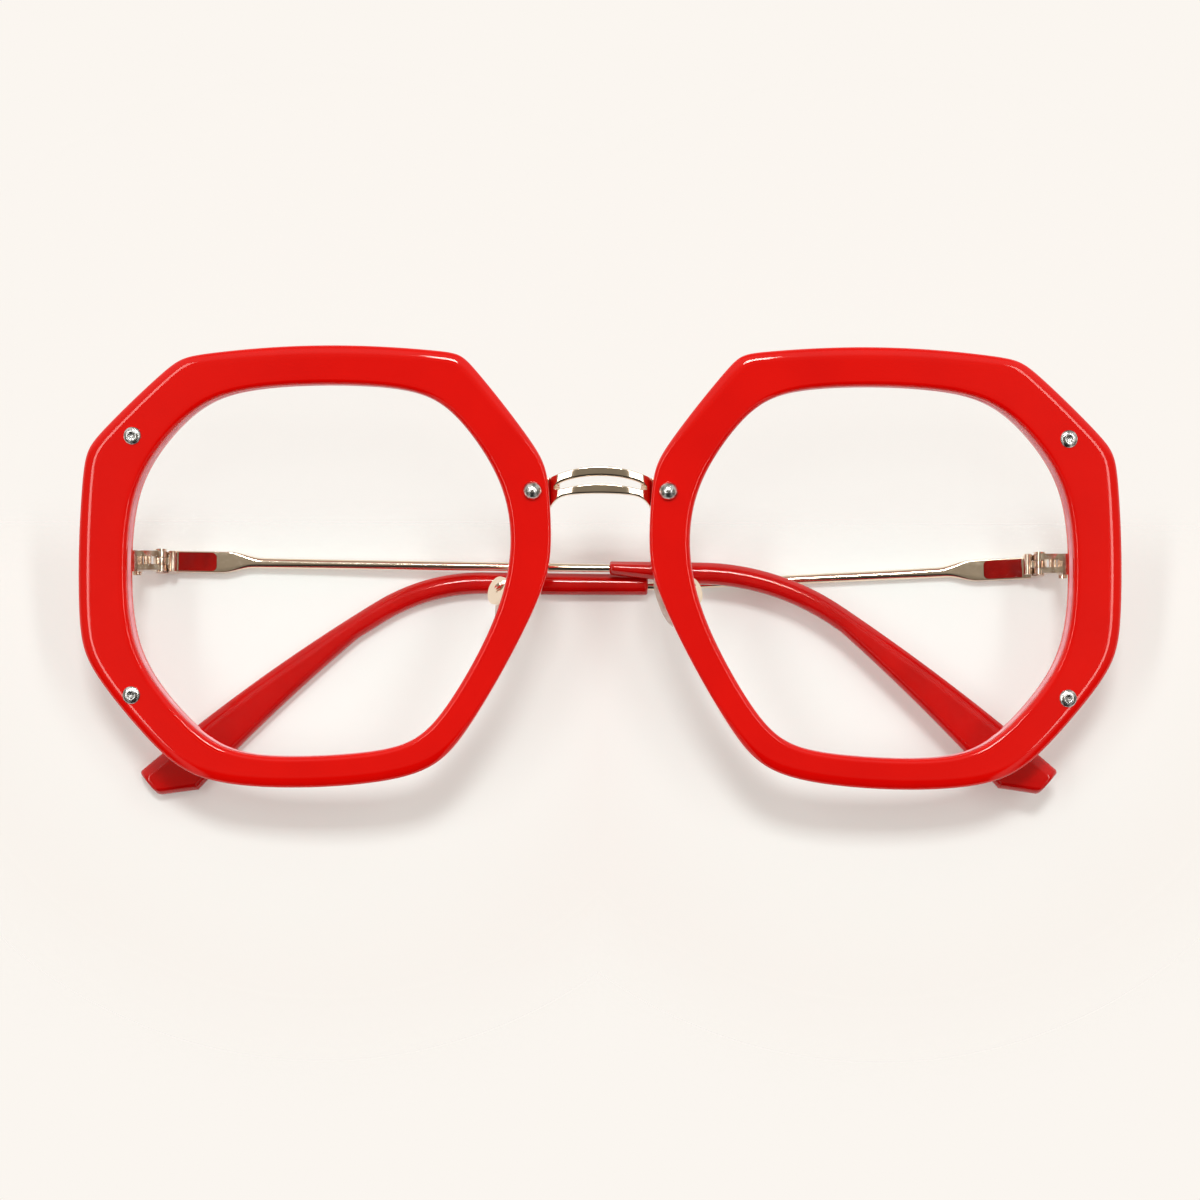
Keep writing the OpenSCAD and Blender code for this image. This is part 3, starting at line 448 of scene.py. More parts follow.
def sharpen(piece, degrees):
    """Keeps edges sharper than an angle crisp, and rounds none of them."""
    piece.data.set_sharp_from_angle(angle=math.radians(degrees))


def bevel(piece, width, degrees=30):
    """Breaks the sharp edges of a piece or CAD node with a modifier."""
    mod = piece.modifiers.new("edge", "BEVEL")
    mod.width = width * MM
    mod.segments = BEVEL_SEGMENTS
    mod.limit_method = "ANGLE"
    mod.angle_limit = math.radians(degrees)
    mod.harden_normals = True


def arc(cx, cy, r, start, step, count):
    """Points on a circle, from a start angle on in even steps of degrees."""
    angles = [math.radians(start + k * step) for k in range(count)]
    return [(cx + r * math.cos(a), cy + r * math.sin(a)) for a in angles]


def rounded(points, radii, count):
    """A closed outline with each corner rounded by its radius, in a count of steps."""
    result = []
    n = len(points)
    for k in range(n):
        p, a, b = Vector(points[k]), Vector(points[k - 1]), Vector(points[(k + 1) % n])
        da, db = (a - p), (b - p)
        cut = min(radii[k], da.length * ROUND_SHARE, db.length * ROUND_SHARE)
        start, end = p + da.normalized() * cut, p + db.normalized() * cut
        for i in range(count + 1):
            t = i / count
            q = start * (1 - t) ** 2 + p * 2 * t * (1 - t) + end * t ** 2
            result.append((q.x, q.y))
    return result


# Shader nodes

def add_node(tree, kind, **settings):
    node = tree.nodes.new(kind)
    for name, value in settings.items():
        setattr(node, name, value)
    return node


def feed(tree, node, index, value):
    """Gives an input a fixed vector or links it to a socket."""
    if isinstance(value, tuple):
        node.inputs[index].default_value = value
    else:
        tree.links.new(value, node.inputs[index])


def vector_math(tree, operation, *values):
    node = add_node(tree, "ShaderNodeVectorMath", operation=operation)
    for index, value in enumerate(values):
        feed(tree, node, index, value)
    return node.outputs["Value" if operation == "DISTANCE" else "Vector"]


def scalar_math(tree, operation, *values):
    node = add_node(tree, "ShaderNodeMath", operation=operation)
    for index, value in enumerate(values):
        feed(tree, node, index, value)
    return node.outputs["Value"]


def split(tree, vector):
    node = add_node(tree, "ShaderNodeSeparateXYZ")
    tree.links.new(vector, node.inputs["Vector"])
    return node.outputs


def smooth_step(tree, source, low, high, start, end):
    """A value that eases from start to end while its source goes from low to high."""
    node = add_node(tree, "ShaderNodeMapRange", interpolation_type="SMOOTHSTEP")
    for name, value in zip(("From Min", "From Max", "To Min", "To Max"), (low, high, start, end)):
        node.inputs[name].default_value = value
    tree.links.new(source, node.inputs["Value"])
    return node.outputs["Result"]


def mix_shaders(tree, factor, first, second):
    node = add_node(tree, "ShaderNodeMixShader")
    for index, source in enumerate((factor, first, second)):
        tree.links.new(source, node.inputs[index])
    return node.outputs["Shader"]


def noise(tree, scale, detail=3.0, roughness=0.5):
    coords = add_node(tree, "ShaderNodeTexCoord")
    texture = add_node(tree, "ShaderNodeTexNoise")
    texture.inputs["Scale"].default_value = scale
    texture.inputs["Detail"].default_value = detail
    texture.inputs["Roughness"].default_value = roughness
    tree.links.new(coords.outputs["Object"], texture.inputs["Vector"])
    return texture.outputs["Fac"]


def ramp(tree, source, stops):
    """Colours by a source's value, through stops of a position and a colour."""
    node = add_node(tree, "ShaderNodeValToRGB")
    elements = node.color_ramp.elements
    while len(elements) < len(stops):
        elements.new(0.5)
    for element, (at, colour) in zip(elements, stops):
        element.position = at
        element.color = (*colour, 1)
    tree.links.new(source, node.inputs["Fac"])
    return node.outputs["Color"]


def grey_ramp(tree, source, low, high):
    """As ramp, between two stops of a position and a level."""
    return ramp(tree, source, [(at, (level,) * 3) for at, level in (low, high)])


def bump(tree, source, strength, distance):
    node = add_node(tree, "ShaderNodeBump")
    node.inputs["Strength"].default_value = strength
    node.inputs["Distance"].default_value = distance * MM
    tree.links.new(source, node.inputs["Height"])
    return node.outputs["Normal"]


# Materials

def new_material(name):
    m = bpy.data.materials.new(name)
    m.use_nodes = True
    return m, m.node_tree, m.node_tree.nodes["Principled BSDF"]


def acetate(name, dark, light, polish, specular, tint, glow, cloud):
    """Polished cellulose acetate: faint clouds in the colour, fine haze, an uneven polish and a painted
    glow: emission of its own colour, which no lamp gives."""
    m, tree, shader = new_material(name)
    colour = ramp(tree, noise(tree, cloud, detail=4), [(0.3, dark), (0.7, light)])
    gloss = grey_ramp(tree, noise(tree, scale=1400, detail=2), (0.3, polish), (0.75, polish + 0.03))
    waves = bump(tree, noise(tree, scale=260, detail=2), strength=0.02, distance=0.05)
    tree.links.new(colour, shader.inputs["Base Color"])
    tree.links.new(gloss, shader.inputs["Roughness"])
    tree.links.new(waves, shader.inputs["Normal"])
    shader.inputs["IOR"].default_value = 1.49
    shader.inputs["Specular IOR Level"].default_value = specular
    shader.inputs["Specular Tint"].default_value = (*tint, 1)
    # Painted glow: the acetate emits its own colour, as light that no lamp gives.
    tree.links.new(colour, shader.inputs["Emission Color"])
    shader.inputs["Emission Strength"].default_value = glow
    return m


def metal(name, dark, light, polish, pits=0.0, scale=300):
    """Plated metal: tone changes, fine scratches in the gloss and, on small parts, pits. Wide tone changes
    are painted reflections.
    """
    m, tree, shader = new_material(name)
    colour = ramp(tree, noise(tree, scale, detail=4), [(0.35, dark), (0.65, light)])
    gloss = grey_ramp(tree, noise(tree, scale=2600, roughness=0.65), (0.35, polish), (0.8, polish + 0.14))
    tree.links.new(colour, shader.inputs["Base Color"])
    tree.links.new(gloss, shader.inputs["Roughness"])
    if pits:
        grain = noise(tree, scale=3400, detail=4, roughness=0.7)
        tree.links.new(bump(tree, grain, pits, distance=0.12), shader.inputs["Normal"])
    shader.inputs["Metallic"].default_value = 1.0
    return m


def clear_plastic(name, dark, light, low, high, polish, scale=500, glow=0.0):
    """Clear plastic: mostly see-through, with a faint uneven haze; edges and pads may have a painted glow of
    their own colour.
    """
    m, tree, shader = new_material(name)
    haze = noise(tree, scale)
    colour = ramp(tree, haze, [(0.3, dark), (0.7, light)])
    tree.links.new(colour, shader.inputs["Base Color"])
    tree.links.new(grey_ramp(tree, haze, (0.3, low), (0.75, high)), shader.inputs["Alpha"])
    shader.inputs["Roughness"].default_value = polish
    shader.inputs["IOR"].default_value = 1.5
    # Painted glow: emission of the plastic's own colour.
    tree.links.new(colour, shader.inputs["Emission Color"])
    shader.inputs["Emission Strength"].default_value = glow
    return m


# The front's red acetate carries a painted glow, which brightens its red beyond what the lamps give.
RED = acetate("red acetate", (0.655, 0.0012, 0.0003), (0.715, 0.0022, 0.0005), polish=0.03, specular=0.44,
              tint=(1.0, 0.93, 0.85), glow=0.13, cloud=90)
# Painted shade: the tips' acetate is the front's red made darker, because the tips lie in the rims' shade. It
# has a small painted glow too.
SHADED_TIP_RED = acetate("red acetate darkened for shade", (0.51, 0.0012, 0.0010), (0.61, 0.0020, 0.0016), polish=0.05,
                   specular=0.5, tint=(1.0, 0.8, 0.75), glow=0.02, cloud=160)
# The inlay's resin has a small painted glow as well.
RESIN = acetate("dark red resin", (0.15, 0.0012, 0.001), (0.36, 0.0035, 0.002), polish=0.05,
                specular=0.25, tint=(1.0, 0.9, 0.8), glow=0.02, cloud=260)
GOLD = metal("champagne plating", (0.84, 0.70, 0.55), (0.90, 0.76, 0.60), polish=0.05)
# Painted reflections: the hinge's wide, fine tone changes from dark copper to pale stand for the broken
# glints of its barrels and blocks.
HINGE_PAINTED_GLINTS = metal("hinge plating with painted reflections", (0.58, 0.40, 0.29), (0.97, 0.86, 0.73), polish=0.05, pits=0.12, scale=900)
# Painted reflections: the silver's tone changes from near black to pale stand for the dark mottles that the
# domes reflect.
SILVER_PAINTED_MOTTLE = metal("silver plating with painted dark reflections", (0.26, 0.25, 0.24), (0.90, 0.90, 0.88), polish=0.03, pits=0.35,
               scale=1100)
LENS = clear_plastic("clear lens", (0.10, 0.07, 0.07), (0.14, 0.10, 0.10), low=0.006, high=0.012,
                     polish=0.02)
# Painted reflection and glow: the lens's edge is coloured pink for the red rim that it reflects, and it emits
# that colour.
LENS_EDGE_PAINTED_GLOW = clear_plastic("lens edge with painted reflection and glow", (0.88, 0.44, 0.48), (0.96, 0.60, 0.64), low=0.66, high=0.76,
                          polish=0.08, scale=300, glow=0.16)
# The pads' silicone has a small painted glow.
SILICONE = clear_plastic("clear silicone", (0.66, 0.50, 0.40), (0.93, 0.85, 0.78), low=0.55, high=0.75,
                         polish=0.12, glow=0.04)


# Rims and lenses

def rim_profile(theta):
    """Section of the rim as radius and height: outer front edge, face, inner edge, groove and back."""
    inner, outer = rim_radius(theta, 0), rim_radius(theta, 1)
    past_nasal = abs(turn_from(NASAL_DIRECTION, theta)) - NASAL_HALF
    width = NASAL_ROUND + (OUTER_ROUND - NASAL_ROUND) * ease(past_nasal / NASAL_EASE)
    flatness = min(1.0, OUTER_ROUND_DEPTH / width)
    quarter = arc(0, 0, width, start=0, step=7.5, count=13)
    edge = [(outer - width + x, (y - width) * flatness) for x, y in quarter]
    run = outer - inner - width - INNER_ROUND
    face = [(outer - width - run * k / FACE_STEPS, 0.0) for k in range(1, FACE_STEPS)]
    opening = arc(inner + INNER_ROUND, -INNER_ROUND, INNER_ROUND, start=90, step=10, count=10)
    groove = [(inner, GROOVE_WIDTH / 2 - GROOVE_BACK), (inner + GROOVE_DEPTH, -GROOVE_BACK),
              (inner, -GROOVE_WIDTH / 2 - GROOVE_BACK)]
    back = (arc(inner + BACK_ROUND, -RIM_T + BACK_ROUND, BACK_ROUND, start=180, step=15, count=7)
            + arc(outer - BACK_ROUND, -RIM_T + BACK_ROUND, BACK_ROUND, start=270, step=15, count=7))
    return edge + face + opening + groove + back


def rim_point(theta, r, h):
    """A point of the wrapped front at a direction and radius from a rim's middle."""
    a = math.radians(theta)
    return wrap(RIM_CENTRE + r * math.cos(a), r * math.sin(a) - RIM_DROP, h)


def build_rim(side):
    bm = bmesh.new()
    rings = [[rim_point(theta, r, h) for r, h in rim_profile(theta)] for theta in STATIONS]
    add_rings(bm, rings, closed=True)
    piece = make_piece(f"rim_{side}_polished", bm, FRONT @ on_side(side), "front", [RED])
    sharpen(piece, degrees=28)
    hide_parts(f"rim_{side}")


def build_lens(side):
    """Two domed faces and between them the bevelled edge, which has a brighter material with a painted pink
    reflection and glow.
    """
    levels = ([(1, share) for share in LENS_SHARES] + [(0, 1.0)]
              + [(-1, share) for share in reversed(LENS_SHARES)])
    rings = []
    for facing, share in levels:
        ring = []
        for theta in STATIONS:
            edge = rim_radius(theta, 0)
            r = (edge + LENS_SHOULDER) * share if facing else edge + LENS_APEX
            dome = LENS_BULGE * (1 - share * share) if facing else 0.0
            ring.append(rim_point(theta, r, dome + facing * LENS_T / 2 - GROOVE_BACK))
        rings.append(ring)
    bm = bmesh.new()
    rows = add_rings(bm, rings)
    edge_row = len(LENS_SHARES)
    for row in rows[edge_row - 1:edge_row + 1]:
        for face in row:
            face.material_index = 1
    piece = make_piece(f"lens_{side}_clear", bm, FRONT @ on_side(side), "front", [LENS, LENS_EDGE_PAINTED_GLOW])
    sharpen(piece, degrees=20)
    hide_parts(f"lens_{side}")


# Bridge

RIVET_PLACE = band(*RIVET_DIRECTION)
LEG_X = wrap(band(RIVET_DIRECTION[0], 1)[0], 0, 0).x - LEG_GAP - BRIDGE_T / 2
LEG_REACH = LEG_X + BRIDGE_T / 2
SLOT_REACH = LEG_REACH - SLOT_END
LUG_Z = wrap(RIVET_PLACE[0], 0, -RIM_T - LUG_GAP - BRIDGE_T / 2).z
LUG_X = wrap(RIVET_PLACE[0], 0, -RIM_T).x
BRIDGE_Z = FRONT_RISE - BRIDGE_BACK - BRIDGE_T / 2


def bridge_path():
    """The bridge from the middle to the lug, as x, z and the angle it has turned back by."""
    b, lean = BRIDGE_BEND, BRIDGE_LEAN
    path = [(0.0, BRIDGE_Z, 0.0)]
    x, z, s = 0.0, BRIDGE_Z, 0.0
    bend_x = LEG_X - b * (1 - math.sin(lean))
    while x < bend_x - BRIDGE_STEP * 1.5:
        s += BRIDGE_STEP
        a = lean * ease((s - LEAN_START) / LEAN_RUN)
        x, z = x + BRIDGE_STEP * math.cos(a), z - BRIDGE_STEP * math.sin(a)
        path.append((x, z, a))
    z -= (bend_x - x) * math.tan(lean)
    slot_end = math.asin((SLOT_REACH - LEG_X + b) / (b + BRIDGE_T / 2))
    turns = [lean + (math.pi / 2 - lean) * k / BEND_STEPS for k in range(BEND_STEPS + 1)]
    path += [(LEG_X - b + b * math.sin(a), z + b * (math.cos(a) - math.cos(lean)), a)
             for a in sorted(turns + [slot_end])]
    for k in range(LUG_BEND_STEPS, -1, -1):
        a = math.pi / 2 * k / LUG_BEND_STEPS
        path.append((LEG_X + b - b * math.sin(a), LUG_Z + b - b * math.cos(a), a))
    return path + [(LUG_X, LUG_Z, 0.0)]


def bridge_edges(reach, slot_reach):
    """Heights of the bottom, the slot's bottom and top, and the top, by the distance from the middle."""
    share = min(LEG_REACH, reach) / LEG_REACH
    half = BRIDGE_SLOT / 2 * math.sqrt(max(0.0, 1 - (slot_reach / SLOT_REACH) ** BRIDGE_POWER))
    middle = BRIDGE_HEIGHT - BRIDGE_DROP * (min(LEG_REACH, slot_reach) / LEG_REACH) ** 2 * SLOT_DROP_SHARE
    bottom = (BRIDGE_HEIGHT - BRIDGE_SLOT / 2 - BRIDGE_LOWER - LOWER_DROP * share ** 2
              - FLARE * share ** BRIDGE_POWER)
    top = BRIDGE_HEIGHT + BRIDGE_SLOT / 2 + BRIDGE_UPPER - BRIDGE_DROP * share ** 2
    return bottom, middle - half, middle + half, top


def bridge_ring(place, low, high):
    """Rounded section between two of the four edges; each point keeps its own distance from the middle."""
    x, z, a = place
    t = BRIDGE_T / 2
    slot_x = abs(x + math.sin(a) * t)
    middle = bridge_edges(abs(x), slot_x)
    corners = [(t, middle[low]), (t, middle[high]), (-t, middle[high]), (-t, middle[low])]
    ring = []
    for q, y in rounded(corners, BRIDGE_ROUNDS, count=8):
        px, pz = x + math.sin(a) * q, z + math.cos(a) * q
        own = bridge_edges(abs(px), slot_x)
        share = (y - middle[low]) / (middle[high] - middle[low])
        ring.append(Vector((px, own[low] + share * (own[high] - own[low]), pz)))
    return ring


def build_bridge():
    """Two bars as far as the slot's ends, and from there one sheet on each side."""
    half = bridge_path()
    slot_end = SLOT_REACH + TOLERANCE
    open_half = [place for place in half if place[0] + math.sin(place[2]) * BRIDGE_T / 2 < slot_end]
    bars = [(-x, z, -a) for x, z, a in reversed(open_half[1:])] + open_half
    bm = bmesh.new()
    for low, high in ((0, 1), (2, 3)):
        add_rings(bm, [bridge_ring(place, low, high) for place in bars])
    for sign in (-1, 1):
        sheet = [(sign * x, z, sign * a) for x, z, a in half[len(open_half) - 1:]]
        add_rings(bm, [bridge_ring(place, 0, 3) for place in sheet])
    piece = make_piece("bridge_polished", bm, FRONT, "front", [GOLD])
    sharpen(piece, degrees=40)
    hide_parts("bridge")


def build_lug(side):
    """Round end of the bridge behind a rim, with the rivet's hole."""
    bm = bmesh.new()
    add_lathe(bm, [(SHANK_R, 0), (LUG_R, 0), (LUG_R, BRIDGE_T), (SHANK_R, BRIDGE_T)], closed=True)
    place = shift(*wrap(*RIVET_PLACE, -RIM_T - LUG_GAP - BRIDGE_T))
    lean = turn("Y", math.degrees(RIVET_PLACE[0] / WRAP_RADIUS))
    lug = make_piece(f"bridge_lug_{side}", bm, FRONT @ on_side(side) @ place @ lean, "front",
                     [GOLD])
    sharpen(lug, degrees=40)
    bevel(lug, width=0.15)
    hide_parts("bridge")


# Rivets

def bridge_rivet_profile():
    """Tail behind the lug, shank, seat and domed head."""
    back = RIM_T + LUG_GAP * 2 + BRIDGE_T
    angles = [math.radians(a) for a in RIVET_ANGLES]
    return ([(0, -back - RIVET_TAIL), (RIVET_TAIL_END_R, -back - RIVET_TAIL),
             (RIVET_TAIL_R, -back - RIVET_TAIL_EDGE), (RIVET_TAIL_R, -back), (SHANK_R, -back),
             (SHANK_R, -RIVET_SEAT), (RIVET_R, -RIVET_SEAT), (RIVET_R, 0)]
            + [(RIVET_R * math.cos(a), RIVET_DOME * math.sin(a)) for a in angles] + [(0, RIVET_DOME)])


def accent_rivet_profile():
    """Shank and a flat dome with a dimple."""
    dimple_r = DIMPLE[0][0]
    angles = [math.radians(a) for a in ACCENT_ANGLES]
    return ([(0, -ACCENT_SHANK), (ACCENT_SHANK_R, -ACCENT_SHANK), (ACCENT_SHANK_R, 0), (ACCENT_R, 0),
             (ACCENT_R, ACCENT_LIP)]
            + [(dimple_r + (ACCENT_R - dimple_r) * math.cos(a), ACCENT_LIP + ACCENT_DOME * math.sin(a))
               for a in angles]
            + [(r, ACCENT_LIP + ACCENT_DOME * share) for r, share in DIMPLE])


def build_rivets(side):
    parts = [("bridge_rivet", RIVET_PLACE, 0.0, bridge_rivet_profile())]
    parts += [(f"accent_rivet_{name}", place, -ACCENT_SUNK, accent_rivet_profile())
              for name, place in ACCENT_PLACES.items()]
    for name, place, height, profile in parts:
        bm = bmesh.new()
        add_lathe(bm, profile)
        where = FRONT @ on_side(side) @ shift(*wrap(*place, height))
        lean = turn("Y", math.degrees(place[0] / WRAP_RADIUS))
        piece = make_piece(f"{name}_{side}_domed", bm, where @ lean, "front", [SILVER_PAINTED_MOTTLE])
        sharpen(piece, degrees=50)
        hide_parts(f"{name}_{side}")


# Hinges, temples and their tips

def build_hinge_ribs(side):
    """Half-round ribs that fill the end piece between its two knuckles."""
    bm = bmesh.new()
    for x in RIBS_X:
        crown = reversed(arc(0, RIB_TOP, RIB_R, start=180, step=-15, count=13))
        outline = [(x - RIB_R, RIB_FOOT)] + [(x - px, pz) for px, pz in crown] + [(x + RIB_R, RIB_FOOT)]
        add_prism(bm, outline, -RIB_HALF, RIB_HALF, turn("X", 90))
    piece = make_piece(f"hinge_ribs_{side}", bm, at_hinge(side), "front", [HINGE_PAINTED_GLINTS])
    sharpen(piece, degrees=40)


def run_point(legs, s, x, y, a):
    """Point and heading along a run of legs, each a length and an even turn."""
    for length, turn_degrees in legs:
        part = min(s, length)
        bend = math.radians(turn_degrees) * part / length
        chord = part if abs(bend) < NEARLY_STRAIGHT else part * math.sin(bend / 2) / (bend / 2)
        x += chord * math.cos(a + bend / 2)
        y += chord * math.sin(a + bend / 2)
        a += bend
        s -= part
        if s <= 0:
            break
    return x, y, a


def wire_y(temple, x):
    """Height of the temple's middle line at a distance from the hinge."""
    return temple["shift"] - x * math.tan(math.radians(temple["drop"]))


def temple_section(y, half_y, half_z, r, window, round_share=0.0):
    """Ring of a bar in Y and Z, or with a round share of 1 of a wire; between its points w and -w the
    faces may have a window. Each point has its place on the bar and, as an angle, on the wire."""
    w = min(window, (half_y - r) * WINDOW_SHARE)
    flat, angles = [], []
    for k, (sy, sz) in enumerate(((1, 1), (-1, 1), (-1, -1), (1, -1))):
        flat += arc(sy * (half_y - r), sz * (half_z - r), r, k * 90, 90 / CORNER_STEPS, CORNER_STEPS + 1)
        angles += [k * 90 + WIRE_CORNER_FROM + i * WIRE_CORNER_RUN / CORNER_STEPS
                   for i in range(CORNER_STEPS + 1)]
        if k in (0, 2):
            sign = 1 - k
            flat += [(w * sign, half_z * sign), (-w * sign, half_z * sign)]
            angles += [k * 90 + a for a in WIRE_WINDOW_ANGLES]
    ring = []
    for (fy, fz), a in zip(flat, angles):
        a = math.radians(a)
        ring.append((y + fy + (half_y * math.cos(a) - fy) * round_share,
                     fz + (half_z * math.sin(a) - fz) * round_share))
    return ring


def window_half(x):
    """Half height of the inlay's window, whose far corners are round."""
    window, r = BAR_H / 2 - INLAY_BORDER, WINDOW_R
    over = max(0.0, x - INLAY_END + r)
    return window if over <= 0 else window - r + math.sqrt(max(0.0, r * r - min(over, r) ** 2))


def bar_stations():
    """Places along the bar, closest together at the window's round corners."""
    r = WINDOW_R
    straight = [INLAY_START + (INLAY_LENGTH - r) * k / WINDOW_STEPS for k in range(1, WINDOW_STEPS + 1)]
    turns = [math.radians(k * 90 / WINDOW_R_STEPS) for k in range(1, WINDOW_R_STEPS + 1)]
    return ([SHOULDER, INLAY_START] + straight + [INLAY_END - r + r * math.sin(a) for a in turns]
            + [INLAY_END + PAST_WINDOW, BAR_LENGTH - TAPER_LEAD])


def bar_rings(temple):
    """Rings of the bar, as x, section and height."""
    rings = []
    for x in bar_stations():
        section = temple_section(wire_y(temple, x), BAR_H / 2, BAR_T / 2, BAR_CORNER, window_half(x))
        rings.append((x, section, BAR_Z))
    return rings


def taper_rings(temple):
    """Rings from the bar to the wire; the lower edge tapers off sooner than the upper one."""
    half_y, half_z = BAR_H / 2, BAR_T / 2
    rings = []
    for k in range(1, TAPER_STEPS + 1):
        x = BAR_LENGTH - TAPER_LEAD + (TAPER_END - BAR_LENGTH + TAPER_LEAD) * k / TAPER_STEPS
        t = (x - BAR_LENGTH + TAPER_LEAD) / (TAPER_LENGTH + TAPER_LEAD)
        above = half_y + (WIRE_R - half_y) * ease((t - UPPER_START) / UPPER_RUN)
        below = half_y + (WIRE_R - half_y) * ease(t / LOWER_RUN)
        flat = half_z + (WIRE_R - half_z) * ease(t)
        corner = BAR_CORNER + TAPER_CORNER * ease(t)
        middle = wire_y(temple, x) + (above - below) / 2
        section = temple_section(middle, (above + below) / 2, flat, corner, TAPER_WINDOW,
                                 TAPER_ROUND * ease(t) ** TAPER_POWER)
        rings.append((x, section, BAR_Z))
    return rings


def wire_rings(temple):
    """Rings of the wire to the tip, and of its core inside the tip."""
    start, tip_z = temple["start"], TIP_T / 2 - BAR_OUT
    rings = []
    for k in range(1, WIRE_STEPS + 1):
        t = k / WIRE_STEPS
        x = TAPER_END + (start - WIRE_JOIN - TAPER_END) * t
        radius = WIRE_R + (WIRE_END_R - WIRE_R) * t
        section = temple_section(wire_y(temple, x), radius, radius, radius * WIRE_CORNER, WIRE_WINDOW,
                                 min(1.0, TAPER_ROUND + WIRE_ROUNDING * t))
        rings.append((x, section, BAR_Z + (tip_z - BAR_Z) * t))
    core_y, heading = wire_y(temple, start), math.tan(math.radians(temple["heading"]))
    radius = WIRE_END_R - CORE_PLAY
    for s in (WIRE_JOIN, CORE_LENGTH):
        section = temple_section(core_y + s * heading, radius, radius, radius * WIRE_CORNER, WIRE_WINDOW, 1.0)
        rings.append((start + s, section, tip_z))
    return rings


def build_temple_bar(side):
    """The bar with its window, the taper and the wire as one skin. Face and back are the places in the
    rings of the window's points on either side."""
    temple = TEMPLES[side]
    rings = bar_rings(temple) + taper_rings(temple) + wire_rings(temple)
    holes = [k for k, (x, _, _) in enumerate(rings) if INLAY_START - TOLERANCE <= x < INLAY_END - TOLERANCE]
    bm = bmesh.new()
    rows = [[bm.verts.new((x, y, z + h)) for y, h in ring] for x, ring, z in rings]
    m = len(rows[0])
    face, back = CORNER_STEPS + 1, m - CORNER_STEPS - 3
    for i in range(len(rows) - 1):
        a, b = rows[i], rows[i + 1]
        for j in range(m):
            if not (i in holes and j in (face, back)):
                bm.faces.new((a[j], a[(j + 1) % m], b[(j + 1) % m], b[j]))
        if i in holes:
            bm.faces.new((a[face], b[face], b[back + 1], a[back + 1]))
            bm.faces.new((a[back], b[back], b[face + 1], a[face + 1]))
    first, last = rows[holes[0]], rows[holes[-1] + 1]
    bm.faces.new((first[face], first[back + 1], first[back], first[face + 1]))
    bm.faces.new((last[face + 1], last[back], last[back + 1], last[face]))
    bm.faces.new(rows[0])
    bm.faces.new(list(reversed(rows[-1])))
    piece = make_piece(f"temple_{side}_bar", bm, at_temple(side), f"temple_{side}", [GOLD])
    sharpen(piece, degrees=40)
    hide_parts(f"temple_{side}")


def build_temple_knuckle(side):
    """The bar's hinge end: its tongue, round shoulder, the web to the knuckle and the knuckle."""
    half_y, half_mid = BAR_H / 2, KNUCKLE_MID / 2
    lap = SHOULDER + SHOULDER_LAP
    along = turn("X", 90)
    bm = bmesh.new()
    add_prism(bm, [(-TONGUE, TONGUE_LIP - BAR_OUT), (0, -BAR_OUT), (lap, -BAR_OUT), (lap, -BAR_IN),
                   (-TONGUE, -BAR_IN)], -half_y, half_y, along)
    top = arc(SHOULDER * 1.5, 0, SHOULDER / 2, start=0, step=15, count=13)
    add_prism(bm, [(SHOULDER, -BAR_OUT), (SHOULDER * 2, -BAR_OUT)] + top, -half_y, half_y, along)
    web = HOLE_R + WEB_GAP
    outline = [(web, WEB_NEAR), (lap, WEB_FAR), (lap, WEB_TOP), (web, WEB_TOP)]
    add_prism(bm, outline, -half_mid, half_mid, along)
    ring = bmesh.new()
    profile = [(HOLE_R, -half_mid), (KNUCKLE_R, -half_mid), (KNUCKLE_R, half_mid), (HOLE_R, half_mid)]
    add_lathe(ring, profile, closed=True)
    ring.transform(along)
    mesh = bpy.data.meshes.new("ring")
    ring.to_mesh(mesh)
    ring.free()
    bm.from_mesh(mesh)
    bpy.data.meshes.remove(mesh)
    piece = make_piece(f"temple_{side}_knuckle", bm, at_temple(side), f"temple_{side}", [HINGE_PAINTED_GLINTS])
    sharpen(piece, degrees=40)
    bevel(piece, width=0.1, degrees=25)
    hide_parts(f"temple_{side}")


def tip_height(temple, s, length):
    """Height of the tip's section at a distance along it: a lead, a flare to the hip and a point."""
    rest = length - s
    body = temple["start_h"] + (TIP_H - temple["start_h"]) * min(1, s / TIP_LEAD)
    flare = (TIP_HIP_H - TIP_H) * max(0, min(1, (TIP_HIP + TIP_FLARE - rest) / TIP_FLARE))
    return body + flare if rest > TIP_HIP else TIP_END_H + (TIP_HIP_H - TIP_END_H) * rest / TIP_HIP


def tip_section(h, shrink):
    """Outline of the tip across its path: the upper edge of the inner face has a wide bevel."""
    top, low = -shrink, -h + shrink
    inner, outer = TIP_T / 2 - shrink, -TIP_T / 2 + shrink
    wide, small = min(TIP_BEVEL, h * TIP_BEVEL_SHARE), min(TIP_SMALL, h * TIP_SMALL_SHARE)
    lip = TIP_LIP
    (upper_lip, upper_top), (lower_lip, lower_top) = TIP_UPPER_DEPTHS, TIP_LOWER_DEPTHS
    return [(top - wide, inner), (top - lip, inner - upper_lip), (top, inner - upper_top),
            (top, outer + small), (top - lip, outer + lip), (top - small, outer),
            (low + small, outer), (low + lip, outer + lip), (low, outer + small),
            (low, inner - lower_top), (low + lip, inner - lower_lip), (low + small, inner)]


def tip_stations(length):
    """Places along a tip and how much its section shrinks there, which rounds both ends."""
    first, last = TIP_START[-1][0], TIP_CLOSE[0][0]
    run = [(first + (length - (first + last)) * k / TIP_STEPS, 0.0) for k in range(1, TIP_STEPS)]
    close = [(length - rest, shrink) for rest, shrink in TIP_CLOSE]
    return sorted(set(TIP_START + run + [(length - TIP_HIP, 0.0)] + close))


